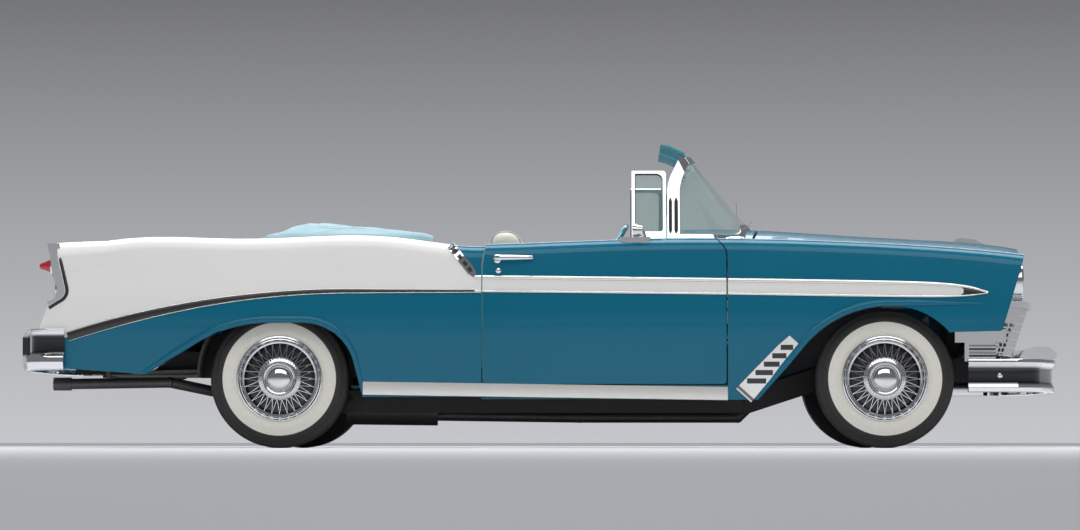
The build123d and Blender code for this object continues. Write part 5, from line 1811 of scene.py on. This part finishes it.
@dataclass
class TopCover:
    """Fitted vinyl cover over the folded roof: a padded U round the rear seat, with a welt and seams."""

    finishes: Finishes
    probe: SkinProbe
    arms: int = 70
    rear: int = 110
    across: int = 34
    welt: float = 0.0055
    fold_depth: float = 0.0022
    seam_depth: float = 0.004
    blend: float = 0.008
    soften: int = 9

    def build(self) -> None:
        """Make the cover and its welt."""
        rings, edge = self._rings()
        cover = piece(Surface.sweep(rings), "top_cover", "car_body", self.finishes.boot)
        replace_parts(cover, "top_boot")
        piece(tube(edge, self.welt, 10), "top_cover_welt", "car_body", self.finishes.boot)

    def _edge(self, x_front: float, x_back: float, y: float, y_back: float) -> np.ndarray:
        """One edge of the U in plan: left arm, rear run and right arm, softened by a running mean.

        Args:
            x_front: Where the arms end.
            x_back: Where the rear run lies.
            y: Half width at the arms' ends.
            y_back: Half width at the rear run.

        Returns:
            The edge's (x, y) points.
        """
        left = np.linspace((x_front, y), (x_back, y_back), self.arms, endpoint=False)
        back = np.linspace((x_back, y_back), (x_back, -y_back), self.rear, endpoint=False)
        right = np.linspace((x_back, -y_back), (x_front, -y), self.arms)
        line = np.concatenate([left, back, right])
        first, last = np.repeat(line[:1], self.soften, 0), np.repeat(line[-1:], self.soften, 0)
        padded = np.concatenate([first, line, last])
        window = np.ones(2 * self.soften + 1) / (2.0 * self.soften + 1.0)
        soft = np.stack([np.convolve(padded[:, i], window, "valid") for i in range(2)], -1)
        soft[0], soft[-1] = line[0], line[-1]
        return soft

    def _rings(self) -> tuple[np.ndarray, np.ndarray]:
        """Cross-sections of the cover, round the U.

        The top is the lower of a side profile and a crown across the car, with rolled edges, shallow folds
        that run across the cover, and sunk seams; the foot lies on the body.

        Returns:
            The rings, and the outer edge's line for the welt.
        """
        inner = self._edge(-0.506, -0.872, 0.618, 0.598)
        outer = self._edge(-0.506, -1.360, 0.778, 0.778)
        share = np.linspace(0.0, 1.0, self.across)
        plan = inner[:, None] + (outer - inner)[:, None] * share[None, :, None]
        x, y = plan[..., 0], plan[..., 1]
        foot = self.probe.top(x, np.abs(y)) + 0.0006
        profile = np.interp(x, [-1.367, -1.25, -1.14, -1.06, -0.88, -0.56, -0.509, -0.50],
                            [1.036, 1.046, 1.112, 1.116, 1.080, 1.044, 1.026, 1.015])
        crown = np.interp(np.abs(y), [0.0, 0.40, 0.64, 0.785], [1.121, 1.108, 1.082, 1.026])
        top = -np.log(np.exp(-profile / self.blend) + np.exp(-crown / self.blend)) * self.blend
        roll = np.clip(np.minimum(share, 1.0 - share) / 0.16, 0.0, 1.0)
        edge = np.sqrt(1.0 - (1.0 - roll) ** 2)[None]
        around = np.linspace(0.0, 1.0, len(plan))[:, None]
        waves = np.sin(around * 46.0 + 2.0 * np.sin(share * 5.0)[None])
        fold = self.fold_depth * waves * np.sin(around * 17.0 + share[None] * 3.0)
        seam = self.seam_depth * np.exp(-((share[None] - 0.46) / 0.022) ** 2) * np.ones_like(x)
        for place in (0.20, 0.335, 0.665, 0.80):
            cross = self.seam_depth * np.exp(-((around - place) / 0.0035) ** 2)
            seam = np.maximum(seam, cross * np.ones_like(x))
        height = np.maximum(top - foot, 0.012) * edge + (fold - seam) * edge
        upper = np.stack([x, y, foot + np.maximum(height, 0.0) + 0.004], -1)
        under = np.stack([x, y, foot], -1)[:, [-1, self.across // 2, 0]]
        rings = np.concatenate([upper, under], 1)
        line = upper[:, -1] + np.array([0.0, 0.0, 0.003])
        return rings, line


@dataclass
class Underside:
    """Chassis, engine and running gear."""

    finishes: Finishes

    def build(self) -> None:
        """Dress the dark pieces."""
        for node in ("frame", "wheelhouses", "fuel_tank"):
            dress(node, self.finishes.under)
        for node in ("engine", "driveline"):
            dress(node, self.finishes.iron)
        for node in ("front_suspension", "rear_springs", "knuckle_left", "knuckle_right", "exhaust"):
            dress(node, self.finishes.steel)


@dataclass
class Studio:
    """Pale floor, grey backdrop, soft lamps and the camera of the reference view."""

    camera_x: float = 0.369
    camera_y: float = -20.36
    camera_z: float = 0.03
    lens: float = 135.0
    tilt: float = 2.50
    swing: float = 1.047
    backdrop_low: Colour = (0.56, 0.565, 0.59)
    backdrop_high: Colour = (0.17, 0.172, 0.18)
    light: Colour = (0.60, 0.62, 0.65)

    def build(self) -> None:
        """Make floor, light and camera."""
        self._floor()
        self._world()
        self._lamps()
        self._camera()
        bpy.context.scene.view_settings.view_transform = "Standard"

    def _floor(self) -> None:
        """A flat sheet of pale paper that reaches the horizon."""
        reach = np.linspace(-90.0, 90.0, 3)
        x, y = np.meshgrid(reach, reach, indexing="ij")
        g = Graph("studio_paper")
        tone = g.noise(0.6, 2.0)
        paper = g.surface(g.mix(tone * 0.3, (0.62, 0.625, 0.64), (0.66, 0.665, 0.68)), 0.85)
        floor = Surface.grid(np.stack([x, y, 0.0 * x], -1)).as_object("studio_floor", paper)

    def _world(self) -> None:
        """Even light from all round; what is seen or mirrored is a backdrop, pale below and darker above."""
        world = bpy.data.worlds.new("studio_light")
        bpy.context.scene.world = world
        g = Graph("studio_light", world)
        facing = g.node("ShaderNodeTexCoord", {}, {}, "Generated")
        height = Value(g, g.node("ShaderNodeSeparateXYZ", {}, {"Vector": facing}).socket.node.outputs[2])
        seen = g.mix(height.step(0.0, 0.11), self.backdrop_low, self.backdrop_high)
        rays = g.node("ShaderNodeLightPath", {}, {}).socket.node.outputs
        share = Value(g, rays["Is Camera Ray"])
        for kind in ("Is Glossy Ray", "Is Transmission Ray"):
            share = share.highest(Value(g, rays[kind]))
        light = g.node("ShaderNodeBackground", {}, {"Color": g.mix(share, self.light, seen)})
        g.node("ShaderNodeOutputWorld", {}, {"Surface": light})

    def _lamps(self) -> None:
        """One long softbox overhead, one large one beside the camera and one behind."""
        for name, place, turn, size, power in (
            ("softbox_over", (0.0, 0.0, 5.2), (0.0, 0.0, 0.0), (8.0, 2.2), 320.0),
            ("softbox_front", (0.3, -9.0, 8.0), (radians(51), 0.0, 0.0), (13.0, 6.0), 400.0),
            ("softbox_back", (0.0, 5.0, 4.5), (radians(-50), 0.0, 0.0), (8.0, 2.0), 140.0),
        ):
            lamp = bpy.data.lights.new(name, "AREA")
            lamp.shape = "RECTANGLE"
            lamp.size, lamp.size_y = size
            lamp.energy = power
            holder = bpy.data.objects.new(name, lamp)
            holder.location, holder.rotation_euler = place, turn
            bpy.context.scene.collection.objects.link(holder)

    def _camera(self) -> None:
        """A long lens low beside the car."""
        held = bpy.data.cameras.new("reference_view")
        held.lens = self.lens
        held.clip_end = 200.0
        camera = bpy.data.objects.new("reference_view", held)
        camera.location = (self.camera_x, self.camera_y, self.camera_z)
        camera.rotation_euler = (radians(90.0 + self.tilt), 0.0, radians(self.swing))
        bpy.context.scene.collection.objects.link(camera)
        bpy.context.scene.camera = camera


def main() -> None:
    """Build every sub-assembly in order."""
    logging.basicConfig(level=logging.INFO, format="%(name)s: %(message)s")
    finishes = Finishes()
    flank = SkinProbe(["fender_left", "door_left", "quarter_left", "floor_pan"])
    upper = SkinProbe(["hood", "cowl", "trunk_lid", "rear_deck", "fender_left", "quarter_left"])
    Studio().build()
    Bodywork(finishes).build()
    FlankTrim(finishes, flank).build()
    for axle in ("front", "rear"):
        for side in Side:
            WheelTrim(finishes, axle, side).build()
    Nose(finishes, upper).build()
    Tail(finishes, flank).build()
    Screen(finishes).build()
    Cabin(finishes).build()
    TopCover(finishes, upper).build()
    Underside(finishes).build()


if __name__ == "__main__":
    main()
